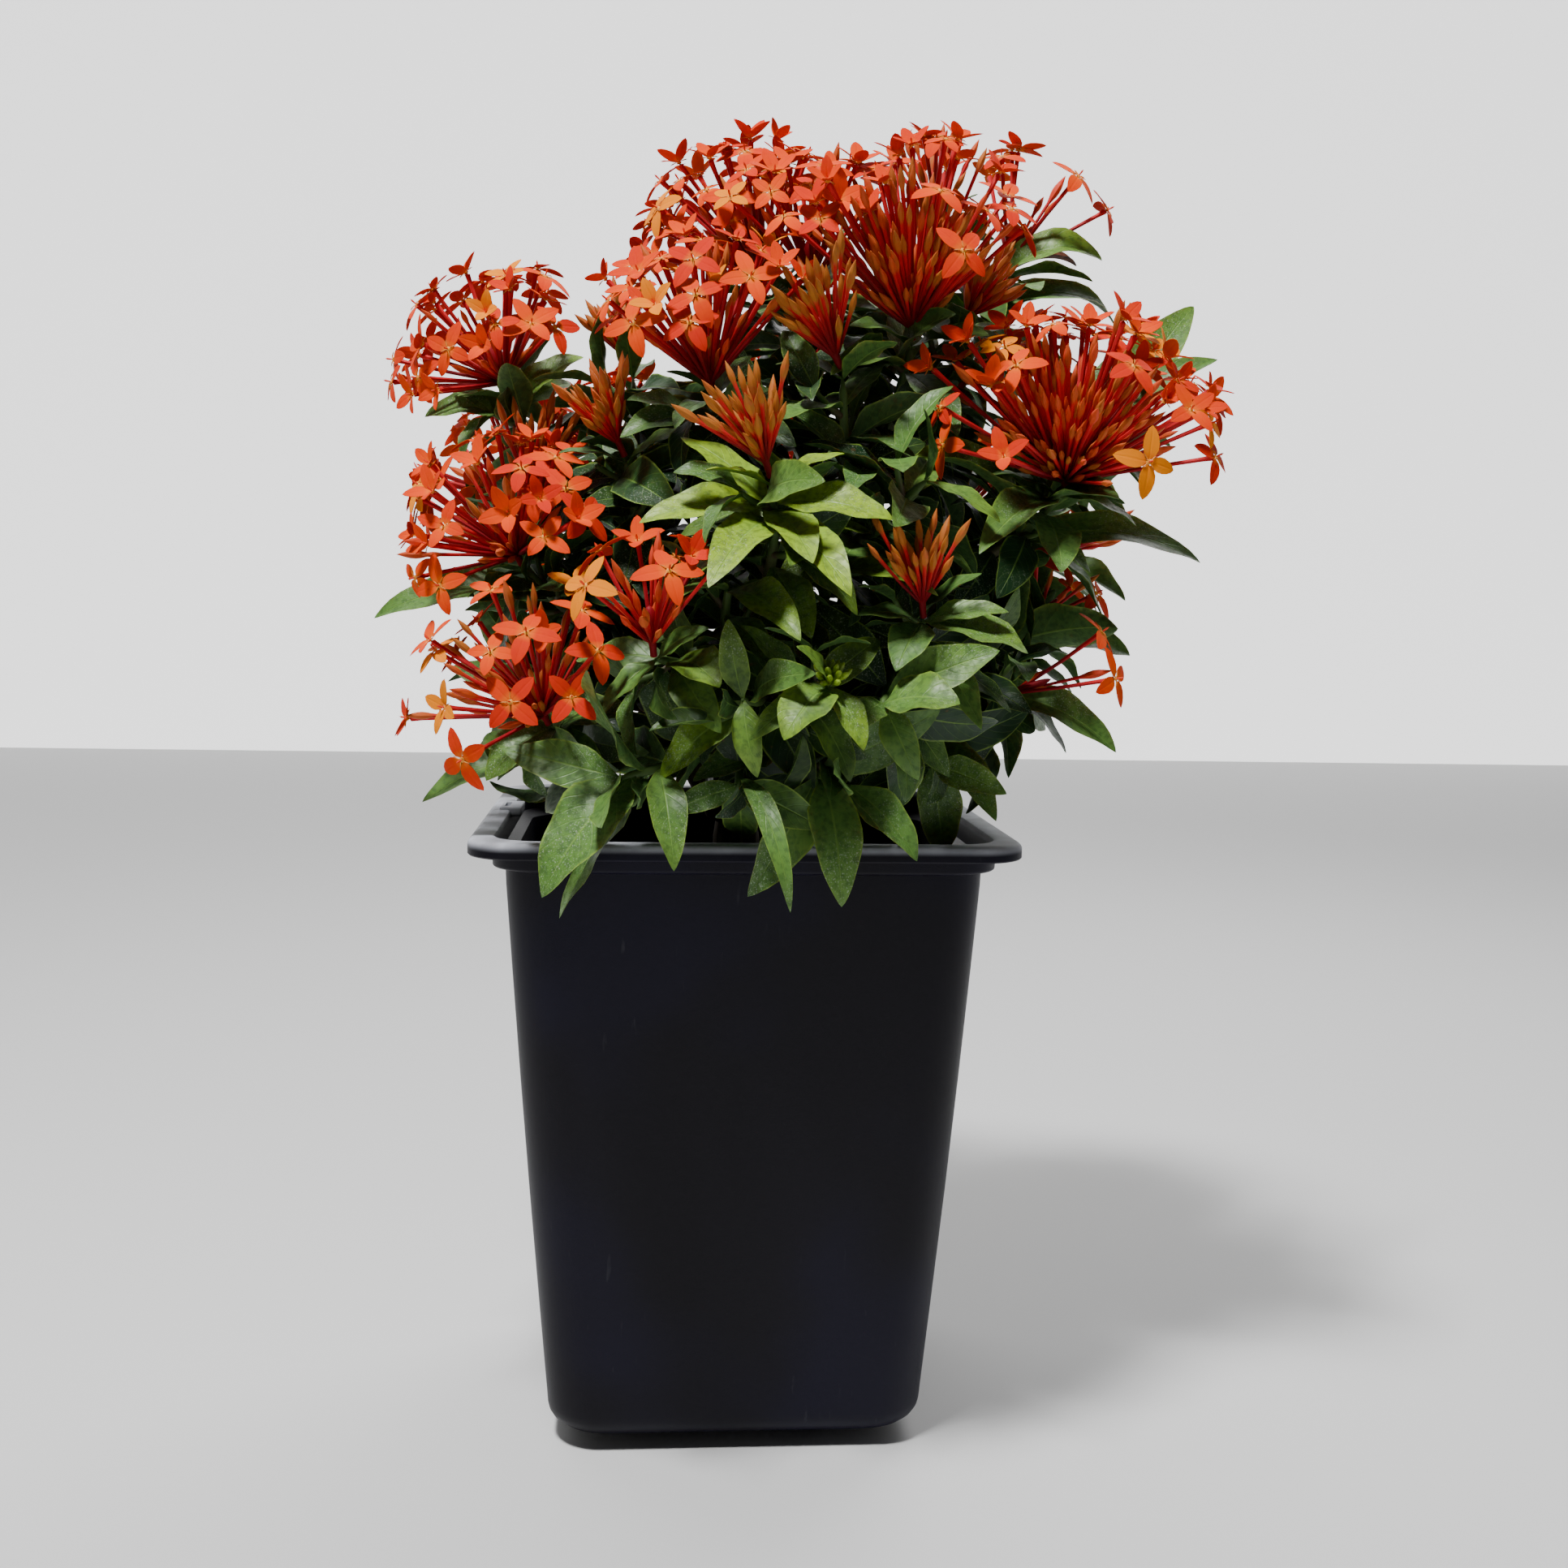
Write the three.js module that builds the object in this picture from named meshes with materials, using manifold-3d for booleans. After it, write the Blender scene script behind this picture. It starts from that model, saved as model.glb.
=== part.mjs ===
// An ixora shrub in a square nursery pot: black moulded pot, potting mix, woody framework,
// leafy stems and flower heads of slender tubes that end in buds or open four-petalled florets.
// Millimetres, +Z up, front towards -Y. The shrub is laid out round the pot's axis, and the
// whole group is then shifted so that the origin is on the floor under the middle of its outline.
import * as THREE from "three";
import { mergeVertices } from "three/addons/utils/BufferGeometryUtils.js";
import Module from "manifold-3d";

const wasm = await Module();
wasm.setup();

// ---- driving dimensions, mm ----
const clearance = 0.3; // kept between any two separate pieces
const sliver = 0.02; // facets thinner than this are merged into their neighbours
const pot = {
  width: 220, // across the rim
  height: 260,
  wall: 2,
  corner: 20, // outline's corner radius
  cornerSteps: 3, // facets in each rounded corner
  flange: 10, // width of the flat rim
  edge: 2, // bevel round the rim
  lipDrop: 6.5, // the rim's turned-down edge
  bead: { half: 101, height: 7 }, // band under the rim
  bodyTop: 96.5, // half width of the body under the band
  bodyBottom: 79.5, // half width of the body at its foot
  sole: { drop: 12, inset: 10, rise: 3.5 }, // the rounding between the wall and the floor
  footHeight: 5,
  foot: { inner: 10.5, outer: 51, draft: 2.5 }, // four pads in a square, seen as inner and outer edge
  drain: { radius: 5, offset: 56, sides: 8 },
  lug: { along: 26, reach: 4.5, thick: 4, proud: 1, y: 12, slot: [14, 2.4] }, // label lug, left rim
};
const soil = { level: 228, heap: 3, heapHalf: 62, middle: 1.5, middleHalf: 30 };
const trunk = { holeDepth: 45, play: 1.6, radius: 11, head: 262, sides: 7 };
const limb = { radii: [5, 4.7, 4.2], sides: 4, rootShare: 0.6, rootDrop: 8, lift: 0.4 };
const twigs = { radii: [2.8, 2.6], sides: 3, spacing: 0.14, lift: 0.25 }; // bear the leafy stems
const shoot = { radii: [2.8, 2.5, 2.3], sides: 4, forkShare: 0.42 }; // a leafy stem, from its fork up
const blade = {
  rows: [0, 0.3, 0.68, 1], // ends of its straight stretches, as shares of its length
  keel: 0.9, // depth of the rib
  hidden: 3.2, // length that its own stem may hide
};
const pairs = { first: 3, spacing: 11, growth: 0.08, lowest: 0.1 }; // of leaves, down from the tip
const topPair = { rise: 48, share: 0.74 }; // degrees from the stem's square; share of the leaf length
const lowerPair = { rise: 36, step: 9 };
const peduncle = { length: 9, radius: 1.7 }; // stalk from the leafy stem to the first flower tubes
const heart = { low: [-0.05, 0.11], wide: [0.09, 0.18], top: 0.3, sides: 6 }; // shares of a head's reach
const floret = {
  sunk: 0.06, // share of the head's reach that its tubes start below the peduncle's end
  hidden: 0.33, // share of the reach where tubes of one head may touch
  throat: 1.3, // radius of the flower tube at its mouth
  dip: 1.4, // the tube's mouth below the petals
  eye: 0.6, // the raised middle
  bud: 1.9, // radius of a closed bud
  budWidest: 6.05, // from the bud's tip
  petal: 13.5, // centre of the floret to a petal's tip
  shoulder: { radius: 8.2, angle: 0.4 }, // widest place of a petal
  notch: 2.4, // between two petals, from the centre
  curl: 2.6, // how far the petal tips bend back
};
const seeds = { florets: 7000, leaves: 3000, perGroup: 100 };

// ---- what grows where ----
// Ends of the woody limbs that leave the trunk.
const limbEnds = {
  left: [-46, -34, 322],
  front: [4, -58, 318],
  right: [62, -40, 338],
  top: [30, -8, 372],
  back_right: [62, 36, 345],
  back: [0, 60, 330],
  back_left: [-48, 30, 340],
};

// Stems that part from a common fork are one piece; limb is the one that bears their fork.
// tip: top of the leafy stem. lean: direction of growth there. leaves: [pairs, turn of the top
// pair in degrees, leaf length, droop in degrees]. head: [reach of the outer florets, spread in
// degrees, open florets, buds].
const shrub = [
  { name: "upper_left", limb: "left", stems: [
    { tip: [-100, -5, 440], lean: [-0.42, -0.3, 0.85], leaves: [3, 20, 40, 35], head: [56, 74, 7, 5] }] },
  { name: "left_buds", limb: "left", stems: [
    { tip: [-90, -24, 390], lean: [0.05, 0, 1], leaves: [3, 60, 42, 40], head: [52, 36, 0, 9] }] },
  { name: "left", limb: "left", stems: [
    { tip: [-91, -57, 366], lean: [-0.42, -0.5, 0.76], leaves: [4, 10, 42, 45], head: [57, 70, 7, 5] }] },
  { name: "low_left", limb: "left", stems: [
    { tip: [-78, -92, 304], lean: [-0.42, -0.42, 0.8], leaves: [3, -30, 42, 50], head: [60, 68, 5, 8] },
    { tip: [-74, -74, 292], lean: [-0.7, -0.5, 0.5], leaves: [2, 40, 48, 55] }] },
  { name: "low_centre", limb: "front", stems: [
    { tip: [-38, -122, 332], lean: [-0.1, -0.45, 0.88], leaves: [3, -10, 38, 50], head: [50, 50, 4, 5] },
    { tip: [-10, -110, 360], lean: [0.05, -0.55, 0.83], leaves: [3, 20, 42, 40] }] },
  { name: "mid_left", limb: "left", stems: [
    { tip: [-50, -62, 410], lean: [-0.4, -0.4, 0.82], leaves: [3, 15, 42, 40], head: [44, 36, 0, 9] },
    { tip: [-48, -12, 450], lean: [-0.35, 0, 0.94], leaves: [2, 80, 40, 35], head: [42, 36, 0, 6] }] },
  { name: "centre_left", limb: "top", stems: [
    { tip: [-16, -70, 434], lean: [-0.14, -0.38, 0.91], leaves: [3, 35, 42, 40], head: [64, 50, 7, 6] }] },
  { name: "top_left", limb: "top", stems: [
    { tip: [10, -8, 486], lean: [-0.46, -0.18, 0.87], leaves: [3, 10, 42, 35], head: [66, 58, 7, 3] },
    { tip: [26, -40, 480], lean: [-0.06, -0.34, 0.94], leaves: [3, 80, 40, 35], head: [58, 46, 4, 3] }] },
  { name: "top_centre", limb: "top", stems: [
    { tip: [64, -68, 458], lean: [-0.08, -0.26, 0.96], leaves: [3, 20, 46, 40], head: [66, 54, 6, 10] },
    { tip: [86, -48, 466], lean: [0.42, -0.25, 0.87], leaves: [3, 60, 44, 40], head: [44, 40, 0, 8] }] },
  { name: "centre_buds", limb: "front", stems: [
    { tip: [33, -96, 442], lean: [-0.44, -0.3, 0.84], leaves: [4, -35, 42, 35], head: [54, 38, 0, 11] },
    { tip: [66, -110, 402], lean: [0.2, -0.5, 0.85], leaves: [3, 10, 44, 35] }] },
  { name: "top_back", limb: "top", stems: [
    { tip: [88, 24, 518], lean: [-0.1, 0, 1], leaves: [3, 30, 42, 35], head: [50, 40, 2, 6] }] },
  { name: "top_right", limb: "back_right", stems: [
    { tip: [116, 10, 500], lean: [0.35, -0.1, 0.94], leaves: [4, 0, 50, 50], head: [58, 44, 4, 2] }] },
  { name: "right", limb: "right", stems: [
    { tip: [127, -70, 400], lean: [0.02, -0.4, 0.92], leaves: [5, 15, 46, 45], head: [74, 70, 8, 10] },
    { tip: [160, -20, 432], lean: [0.6, 0, 0.8], leaves: [3, 20, 44, 30] }] },
  { name: "front_buds", limb: "front", stems: [
    { tip: [4, -132, 398], lean: [-0.34, -0.3, 0.89], leaves: [4, 25, 44, 32], head: [46, 38, 0, 10] }] },
  { name: "low_right_buds", limb: "right", stems: [
    { tip: [64, -115, 348], lean: [-0.15, -0.35, 0.92], leaves: [4, 30, 44, 42], head: [46, 40, 0, 9] },
    { tip: [47, -130, 316], lean: [0, -0.7, 0.7], leaves: [3, -10, 44, 50] }] },
  { name: "far_right", limb: "right", stems: [
    { tip: [124, -25, 342], lean: [0.6, -0.15, 0.77], leaves: [4, 0, 52, 45], head: [42, 50, 2, 3] },
    { tip: [104, -66, 316], lean: [0.8, -0.35, 0.35], leaves: [3, 20, 48, 50], head: [54, 22, 2, 1] }] },
  { name: "young_front", limb: "front", stems: [
    { tip: [26, -144, 324], lean: [0, -0.55, 0.83], leaves: [4, 0, 38, 50] },
    { tip: [-6, -134, 318], lean: [-0.2, -0.6, 0.77], leaves: [2, 35, 42, 55] }] },
  { name: "low_front", limb: "front", stems: [
    { tip: [-52, -128, 287], lean: [-0.35, -0.9, 0.15], leaves: [2, 70, 66, 20] },
    { tip: [-6, -126, 284], lean: [0, -0.9, 0.3], leaves: [2, 20, 46, 60] },
    { tip: [34, -128, 286], lean: [0.1, -0.95, 0.2], leaves: [2, 75, 50, 15] }] },
  { name: "low_right", limb: "right", stems: [
    { tip: [72, -96, 290], lean: [0.45, -0.7, 0.55], leaves: [2, 20, 46, 60] },
    { tip: [104, -40, 298], lean: [0.8, -0.2, 0.5], leaves: [3, 30, 50, 60] }] },
  { name: "back_left", limb: "back_left", stems: [
    { tip: [-94, 46, 392], lean: [-0.5, 0.45, 0.74], leaves: [3, 30, 46, 45], head: [57, 68, 4, 6] }] },
  { name: "back_low_left", limb: "back_left", stems: [
    { tip: [-72, 98, 322], lean: [-0.35, 0.6, 0.7], leaves: [3, 14, 48, 50], head: [54, 60, 3, 6] },
    { tip: [-96, 30, 312], lean: [-0.8, 0.1, 0.6], leaves: [2, 35, 50, 55] }] },
  { name: "back_centre", limb: "back", stems: [
    { tip: [0, 110, 395], lean: [0, 0.5, 0.86], leaves: [3, 40, 46, 45], head: [58, 66, 4, 7] }] },
  { name: "back_top", limb: "back", stems: [
    { tip: [38, 62, 456], lean: [0.05, 0.45, 0.9], leaves: [3, 15, 44, 40], head: [56, 60, 4, 5] }] },
  { name: "back_low", limb: "back", stems: [
    { tip: [32, 130, 332], lean: [0.1, 0.6, 0.78], leaves: [3, 50, 48, 50], head: [48, 40, 0, 9] },
    { tip: [-8, 112, 286], lean: [-0.1, 0.8, 0.5], leaves: [2, 16, 48, 70] }] },
  { name: "back_right", limb: "back_right", stems: [
    { tip: [108, 78, 392], lean: [0.5, 0.45, 0.74], leaves: [3, 20, 48, 45], head: [58, 66, 4, 6] },
    { tip: [98, 88, 312], lean: [0.6, 0.6, 0.5], leaves: [3, 60, 50, 60] }] },
  { name: "right_side", limb: "back_right", stems: [
    { tip: [142, 22, 374], lean: [0.7, 0.1, 0.7], leaves: [3, 45, 50, 45], head: [48, 40, 0, 9] }] },
  { name: "back_upper_left", limb: "back_left", stems: [
    { tip: [-56, 56, 412], lean: [-0.3, 0.4, 0.87], leaves: [3, 70, 44, 40], head: [48, 50, 4, 5] }] },
];

// ---- materials ----
const finish = (color, roughness) =>
  new THREE.MeshStandardMaterial({ color, roughness, metalness: 0, flatShading: true });
const materials = {
  pot: finish(0x15161c, 0.45),
  soil: finish(0x2b2019, 0.95),
  wood: finish(0x4a3a28, 0.85),
  leaf: finish(0x3f7a26, 0.4),
  flower: finish(0xe2481c, 0.55),
};

// ---- small tools ----
const vec = (x, y, z) => new THREE.Vector3(x, y, z);
const from = (list) => vec(...list);
const radians = THREE.MathUtils.degToRad;
const goldenAngle = Math.PI * (3 - Math.sqrt(5));

// Repeatable draws between low and high; each stem has its own seed.
function dice(seed) {
  const modulus = 2147483647;
  let state = seed;
  return (low, high) => {
    state = (state * 16807) % modulus;
    return low + ((high - low) * state) / modulus;
  };
}

function solidFrom(geometry) {
  const bare = geometry.clone();
  bare.deleteAttribute("normal");
  bare.deleteAttribute("uv");
  const merged = mergeVertices(bare, 1e-4);
  const corners = Array.from(merged.index.array);
  const faces = corners.flatMap((a, i) => {
    if (i % 3) return [];
    const [b, c] = [corners[i + 1], corners[i + 2]];
    return a === b || b === c || c === a ? [] : [a, b, c];
  });
  return new wasm.Manifold(
    new wasm.Mesh({
      numProp: 3,
      vertProperties: merged.attributes.position.array,
      triVerts: new Uint32Array(faces),
    }),
  );
}

function meshFrom(solid, name, material) {
  const { vertProperties, triVerts } = solid.simplify(sliver).getMesh();
  const geometry = new THREE.BufferGeometry();
  geometry.setAttribute("position", new THREE.BufferAttribute(new Float32Array(vertProperties), 3));
  geometry.setIndex(new THREE.BufferAttribute(new Uint32Array(triVerts), 1));
  geometry.computeVertexNormals();
  const mesh = new THREE.Mesh(geometry, material);
  mesh.name = name;
  return mesh;
}

// Which of a sphere's rings a vertex is on, from the pole at the top (0) to the other (rows).
const ringOf = ({ y }, rows) => Math.round((Math.acos(THREE.MathUtils.clamp(y, -1, 1)) / Math.PI) * rows);

// Moves each vertex of a geometry with move(vertex).
function reshape(geometry, move) {
  const position = geometry.attributes.position;
  const vertex = vec(0, 0, 0);
  for (let i = 0; i < position.count; i++) {
    move(vertex.fromBufferAttribute(position, i));
    position.setXYZ(i, vertex.x, vertex.y, vertex.z);
  }
  return geometry;
}

// Two directions square to ahead, so that side x ahead = up.
function squareTo(ahead, hint = vec(0, 1, 0)) {
  const side = hint.clone().cross(ahead).normalize();
  return { side, up: side.clone().cross(ahead) };
}

// A closed round stalk through points, with a radius at each; a last radius of 0 makes a point.
// Its ends are cut square to first and last, where these directions are given.
function stalk(points, radii, sides, { first, last, spin = 0 } = {}) {
  const rows = points.length - 1;
  const pointed = radii[rows] === 0;
  const tube = new THREE.CylinderGeometry(pointed ? 0 : 1, 1, rows, sides, rows);
  const frames = points.map((point, row) => {
    const before = points[Math.max(row - 1, 0)];
    const after = points[Math.min(row + 1, rows)];
    const ahead = after.clone().sub(before).normalize();
    return squareTo((row === 0 && first) || (row === rows && last) || ahead);
  });
  reshape(tube, (vertex) => {
    const row = Math.round(vertex.y + rows / 2);
    const reach = Math.hypot(vertex.x, vertex.z) < 1e-6 ? 0 : radii[row];
    const angle = Math.atan2(vertex.z, vertex.x) - spin;
    const { side, up } = frames[row];
    vertex.copy(points[row]);
    vertex.addScaledVector(side, reach * Math.cos(angle)).addScaledVector(up, reach * Math.sin(angle));
  });
  return solidFrom(tube);
}

// ---- the pot ----
// Turns a lathe of 4 * (cornerSteps + 1) segments into rounded squares of the same half widths.
function squareLathe(profile) {
  const perCorner = pot.cornerSteps + 1;
  const segments = 4 * perCorner;
  const lathe = new THREE.LatheGeometry(profile.map(([half, z]) => new THREE.Vector2(half, z)), segments);
  reshape(lathe, (vertex) => {
    const half = Math.hypot(vertex.x, vertex.z);
    const height = vertex.y;
    if (half < 1e-6) return vertex.set(0, 0, height);
    const turned = Math.atan2(vertex.x, vertex.z) / (2 * Math.PI);
    const step = Math.round((turned + 1) * segments) % segments;
    const corner = Math.floor(step / perCorner);
    const turn = (corner + (step % perCorner) / pot.cornerSteps) * (Math.PI / 2);
    const radius = Math.min(pot.corner, half);
    const middle = (corner + 0.5) * (Math.PI / 2);
    const reach = (half - radius) * Math.SQRT2;
    vertex.set(
      reach * Math.cos(middle) + radius * Math.cos(turn),
      reach * Math.sin(middle) + radius * Math.sin(turn),
      height,
    );
  });
  return solidFrom(lathe);
}

const rimHalf = pot.width / 2;
const innerFloor = pot.footHeight + pot.wall;
const soleTop = pot.footHeight + pot.sole.drop;
const beadBottom = pot.height - pot.lipDrop - pot.bead.height;
const quarters = [[1, 1], [-1, 1], [-1, -1], [1, -1]];
// Half width of the body's outer wall at height z.
const bodyHalf = (z) =>
  THREE.MathUtils.mapLinear(z, soleTop, beadBottom, pot.bodyBottom, pot.bodyTop);

function makeShell() {
  const { wall, height, footHeight, bead, edge, sole, lipDrop, flange } = pot;
  return squareLathe([
    [0, footHeight],
    [pot.bodyBottom - sole.inset, footHeight],
    [pot.bodyBottom - 0.3 * sole.inset, footHeight + sole.rise],
    [pot.bodyBottom, soleTop],
    [bodyHalf(beadBottom), beadBottom],
    [bead.half, beadBottom + edge],
    [bead.half, height - wall],
    [rimHalf - wall, height - wall],
    [rimHalf - wall, height - lipDrop],
    [rimHalf, height - lipDrop],
    [rimHalf, height - edge],
    [rimHalf - edge, height],
    [rimHalf - flange, height],
    [rimHalf - flange, beadBottom + edge],
    [bodyHalf(beadBottom) - wall, beadBottom],
    [pot.bodyBottom - wall, soleTop],
    [pot.bodyBottom - sole.inset, innerFloor],
    [0, innerFloor],
  ]);
}

// A square foot pad that narrows towards the ground, in one quarter of the floor.
function makePad([sx, sy]) {
  const { inner, outer, draft } = pot.foot;
  const middle = (inner + outer) / 2;
  const size = outer - inner;
  const top = pot.footHeight + pot.wall / 2;
  const pad = new THREE.BoxGeometry(size, size, top);
  reshape(pad, (vertex) => {
    const narrow = vertex.z < 0 ? 1 - (2 * draft) / size : 1;
    vertex.set(vertex.x * narrow + sx * middle, vertex.y * narrow + sy * middle, vertex.z + top / 2);
  });
  return solidFrom(pad);
}

function makePot() {
  const { lug, drain, flange, height } = pot;
  let solid = makeShell();
  for (const quarter of quarters) solid = solid.add(makePad(quarter));
  const lugBox = new THREE.BoxGeometry(lug.reach + flange / 2, lug.along, lug.thick);
  lugBox.translate(flange * 0.75 + lug.reach / 2 - rimHalf, lug.y, height + lug.proud - lug.thick / 2);
  const slot = new THREE.BoxGeometry(lug.slot[1], lug.slot[0], 4 * lug.thick);
  slot.translate(flange - pot.edge - rimHalf, lug.y, height);
  solid = solid.add(solidFrom(lugBox)).subtract(solidFrom(slot));
  for (const [sx, sy] of quarters) {
    const hole = new THREE.CylinderGeometry(drain.radius, drain.radius, 4 * innerFloor, drain.sides);
    hole.rotateX(Math.PI / 2).translate(sx * drain.offset, sy * drain.offset, 0);
    solid = solid.subtract(solidFrom(hole));
  }
  return meshFrom(solid, "pot", materials.pot);
}

// The root ball and potting mix fill the pot to soil.level, with a plain hole for the trunk.
function makeSoil() {
  const inset = pot.wall + clearance;
  const block = squareLathe([
    [0, innerFloor + clearance],
    [pot.bodyBottom - pot.sole.inset - clearance, innerFloor + clearance],
    [pot.bodyBottom - inset, soleTop + clearance],
    [bodyHalf(soil.level) - inset, soil.level],
    [soil.heapHalf, soil.level + soil.heap],
    [soil.middleHalf, soil.level + soil.middle],
    [0, soil.level + soil.middle],
  ]);
  const radius = trunk.radius + trunk.play;
  const hole = new THREE.CylinderGeometry(radius, radius, 2 * trunk.holeDepth, pot.drain.sides);
  hole.rotateX(Math.PI / 2).translate(0, 0, soil.level);
  return meshFrom(block.subtract(solidFrom(hole)), "potting_mix", materials.soil);
}

// ---- stems ----
const along = (curve, rows) => Array.from({ length: rows + 1 }, (_, i) => curve.getPoint(i / rows));

// A smooth line from start, where it heads for first, to end, where it heads for last.
function bow(start, first, end, last) {
  const pull = 0.35 * start.distanceTo(end);
  const leave = start.clone().addScaledVector(first, pull);
  return new THREE.CubicBezierCurve3(start, leave, end.clone().addScaledVector(last, -pull), end);
}

// A straight stretch of a limb or stem runs between each two of its radii.
const stretches = ({ radii }) => radii.length - 1;

function layOutLimb([x, y, z]) {
  const end = vec(x, y, z);
  const start = vec(x, y, 0).setLength(limb.rootShare * trunk.radius).setZ(trunk.head - limb.rootDrop);
  const out = end.clone().sub(start).normalize();
  const first = vec(out.x, out.y, out.z + limb.lift).normalize();
  return along(bow(start, first, end, out), stretches(limb));
}

// The fork of a group of stems, the woody twig that bears it, and the line of each stem.
function layOutGroup(group) {
  const middle = vec(0, 0, 0);
  for (const stem of group.stems) middle.addScaledVector(from(stem.tip), 1 / group.stems.length);
  const limbEnd = from(limbEnds[group.limb]);
  const fork = limbEnd.clone().lerp(middle, shoot.forkShare);
  const ahead = middle.clone().sub(limbEnd).normalize().add(vec(0, 0, twigs.lift)).normalize();
  const sameLimb = shrub.filter((other) => other.limb === group.limb);
  const place = 1 - twigs.spacing * sameLimb.indexOf(group);
  const [, elbow, end] = layOutLimb(limbEnds[group.limb]);
  const twig = [elbow.lerp(end, place), fork.clone().addScaledVector(ahead, -clearance / 2)];
  const stems = group.stems.map((stem, index) => {
    const tip = from(stem.tip);
    const lean = from(stem.lean).normalize();
    const curve = bow(fork.clone().addScaledVector(ahead, clearance / 2), ahead, tip, lean);
    return { ...stem, index, tip, lean, curve, ahead, length: 1.06 * fork.distanceTo(tip) };
  });
  return { name: group.name, twig, ahead, stems };
}

function makeWood(groups) {
  const { radius, head, holeDepth, sides } = trunk;
  const heights = [soil.level - holeDepth + clearance, soil.level + 2, head, head + radius / 2];
  const girths = [0.8 * radius, radius, 0.9 * radius, 0];
  let solid = stalk(heights.map((z) => vec(0, 0, z)), girths, sides);
  for (const end of Object.values(limbEnds))
    solid = solid.add(stalk(layOutLimb(end), limb.radii, limb.sides));
  for (const { twig, ahead } of groups)
    solid = solid.add(stalk(twig, twigs.radii, twigs.sides, { last: ahead }));
  return solid;
}

// A leafy stem has four flat sides, and its leaf pairs grow from the middle of these.
const stemSolid = (stem) =>
  stalk(along(stem.curve, stretches(shoot)), shoot.radii, shoot.sides, {
    first: stem.ahead,
    last: stem.lean,
    spin: radians(stem.leaves[1] + 45),
  });

// Where a leaf pair sits on a stem's straight stretches, and the stem's direction there.
function placeOn(stem, t) {
  const rows = stretches(shoot);
  const row = Math.min(Math.floor(t * rows), rows - 1);
  const [lower, upper] = [row, row + 1].map((end) => stem.curve.getPoint(end / rows));
  return { root: lower.clone().lerp(upper, t * rows - row), axis: upper.sub(lower).normalize() };
}

// ---- leaves ----
// Half width of a blade, as a share of its greatest, at s from root (0) to tip (1).
const bladeWidth = (s) => Math.max(0, Math.sin(Math.PI * s ** 0.85)) ** 0.8;

// A leaf is a keeled blade in three stretches. It grows from a point inside its stem along ahead,
// bends down in an arc and turns about its rib; its edges stand above the rib.
function leafSolid({ start, ahead, down, length, width, droop, roll, fold }) {
  const rows = blade.rows.length - 1;
  const flat = down.clone().cross(ahead).normalize();
  const sheet = new THREE.SphereGeometry(1, 3, rows);
  reshape(sheet, (vertex) => {
    const s = blade.rows[rows - ringOf(vertex, rows)];
    const bend = droop * s;
    const turn = roll * s;
    const up = ahead.clone().multiplyScalar(Math.sin(bend)).addScaledVector(down, -Math.cos(bend));
    const side = flat.clone().multiplyScalar(Math.cos(turn)).addScaledVector(up, Math.sin(turn));
    const normal = up.multiplyScalar(Math.cos(turn)).addScaledVector(flat, -Math.sin(turn));
    const corner = Math.round((Math.atan2(vertex.z, vertex.x) / Math.PI) * 3);
    const across = [0, 1, -1][((corner % 6) + 6) % 6 >> 1];
    const reach = (width / 2) * bladeWidth(s);
    vertex.copy(start);
    vertex.addScaledVector(ahead, (length * Math.sin(bend)) / droop);
    vertex.addScaledVector(down, (length * (1 - Math.cos(bend))) / droop);
    if (s > 0 && s < 1) {
      vertex.addScaledVector(side, across * reach);
      vertex.addScaledVector(normal, across ? fold * reach : -blade.keel);
    }
  });
  return solidFrom(sheet);
}

// Ways a leaf may bend clear of its neighbours, tried in turn: [lift, turn, share of its length].
const bends = [1, 0.8, 0.62].flatMap((share) => [
  [0, 0], [0.22, 0], [-0.22, 0], [0, 0.3], [0, -0.3], [0.4, 0.25], [0.4, -0.25],
  [-0.4, 0.25], [-0.4, -0.25], [0.65, 0], [-0.65, 0], [0.2, 0.6], [0.2, -0.6],
].map(([lift, turn]) => [lift, turn, share]));

// What sets one leaf off from the next, drawn in this order.
const drawLeaf = (draw, length) => ({
  azimuth: draw(-0.28, 0.28),
  rise: draw(-0.2, 0.2),
  length: length * draw(0.88, 1.12),
  slimness: draw(0.34, 0.41),
  droop: draw(0.75, 1.25),
  roll: draw(-0.5, 0.5),
  fold: draw(0.12, 0.32),
});

// The leaves of a stem in crossed pairs, from the top pair down, each as a list of ways to bend.
function leavesOf(stem, seed) {
  const [count, turnDegrees, size, droopDegrees] = stem.leaves;
  const draw = dice(seed);
  const leaves = [];
  for (let pair = 0; pair < count; pair++) {
    const below = pairs.first + pairs.spacing * pair * (1 + pairs.growth * pair);
    const t = 1 - below / stem.length;
    if (t < pairs.lowest) break;
    const { root, axis } = placeOn(stem, t);
    const { side, up } = squareTo(axis);
    const sag = axis.clone().lerp(vec(0, 0, 1), 0.35).negate();
    const rise = pair === 0 ? topPair.rise : lowerPair.rise - lowerPair.step * pair;
    for (const opposite of [0, Math.PI]) {
      const own = drawLeaf(draw, size * (pair === 0 ? topPair.share : 1));
      const azimuth = radians(turnDegrees) + (pair * Math.PI) / 2 + opposite + own.azimuth;
      leaves.push(bends.map(([lift, turn, share]) => {
        const height = radians(rise) + own.rise + lift;
        const a = azimuth + turn;
        const out = side.clone().multiplyScalar(Math.cos(a)).addScaledVector(up, -Math.sin(a));
        const ahead = out.multiplyScalar(Math.cos(height)).addScaledVector(axis, Math.sin(height));
        return {
          start: root,
          ahead,
          down: sag.clone().addScaledVector(ahead, -sag.dot(ahead)).normalize(),
          length: own.length * share,
          width: own.length * own.slimness * (0.4 + 0.6 * share),
          droop: radians(droopDegrees) * own.droop,
          roll: own.roll,
          fold: own.fold,
          hidden: blade.hidden,
        };
      }));
    }
  }
  return leaves;
}

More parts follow.
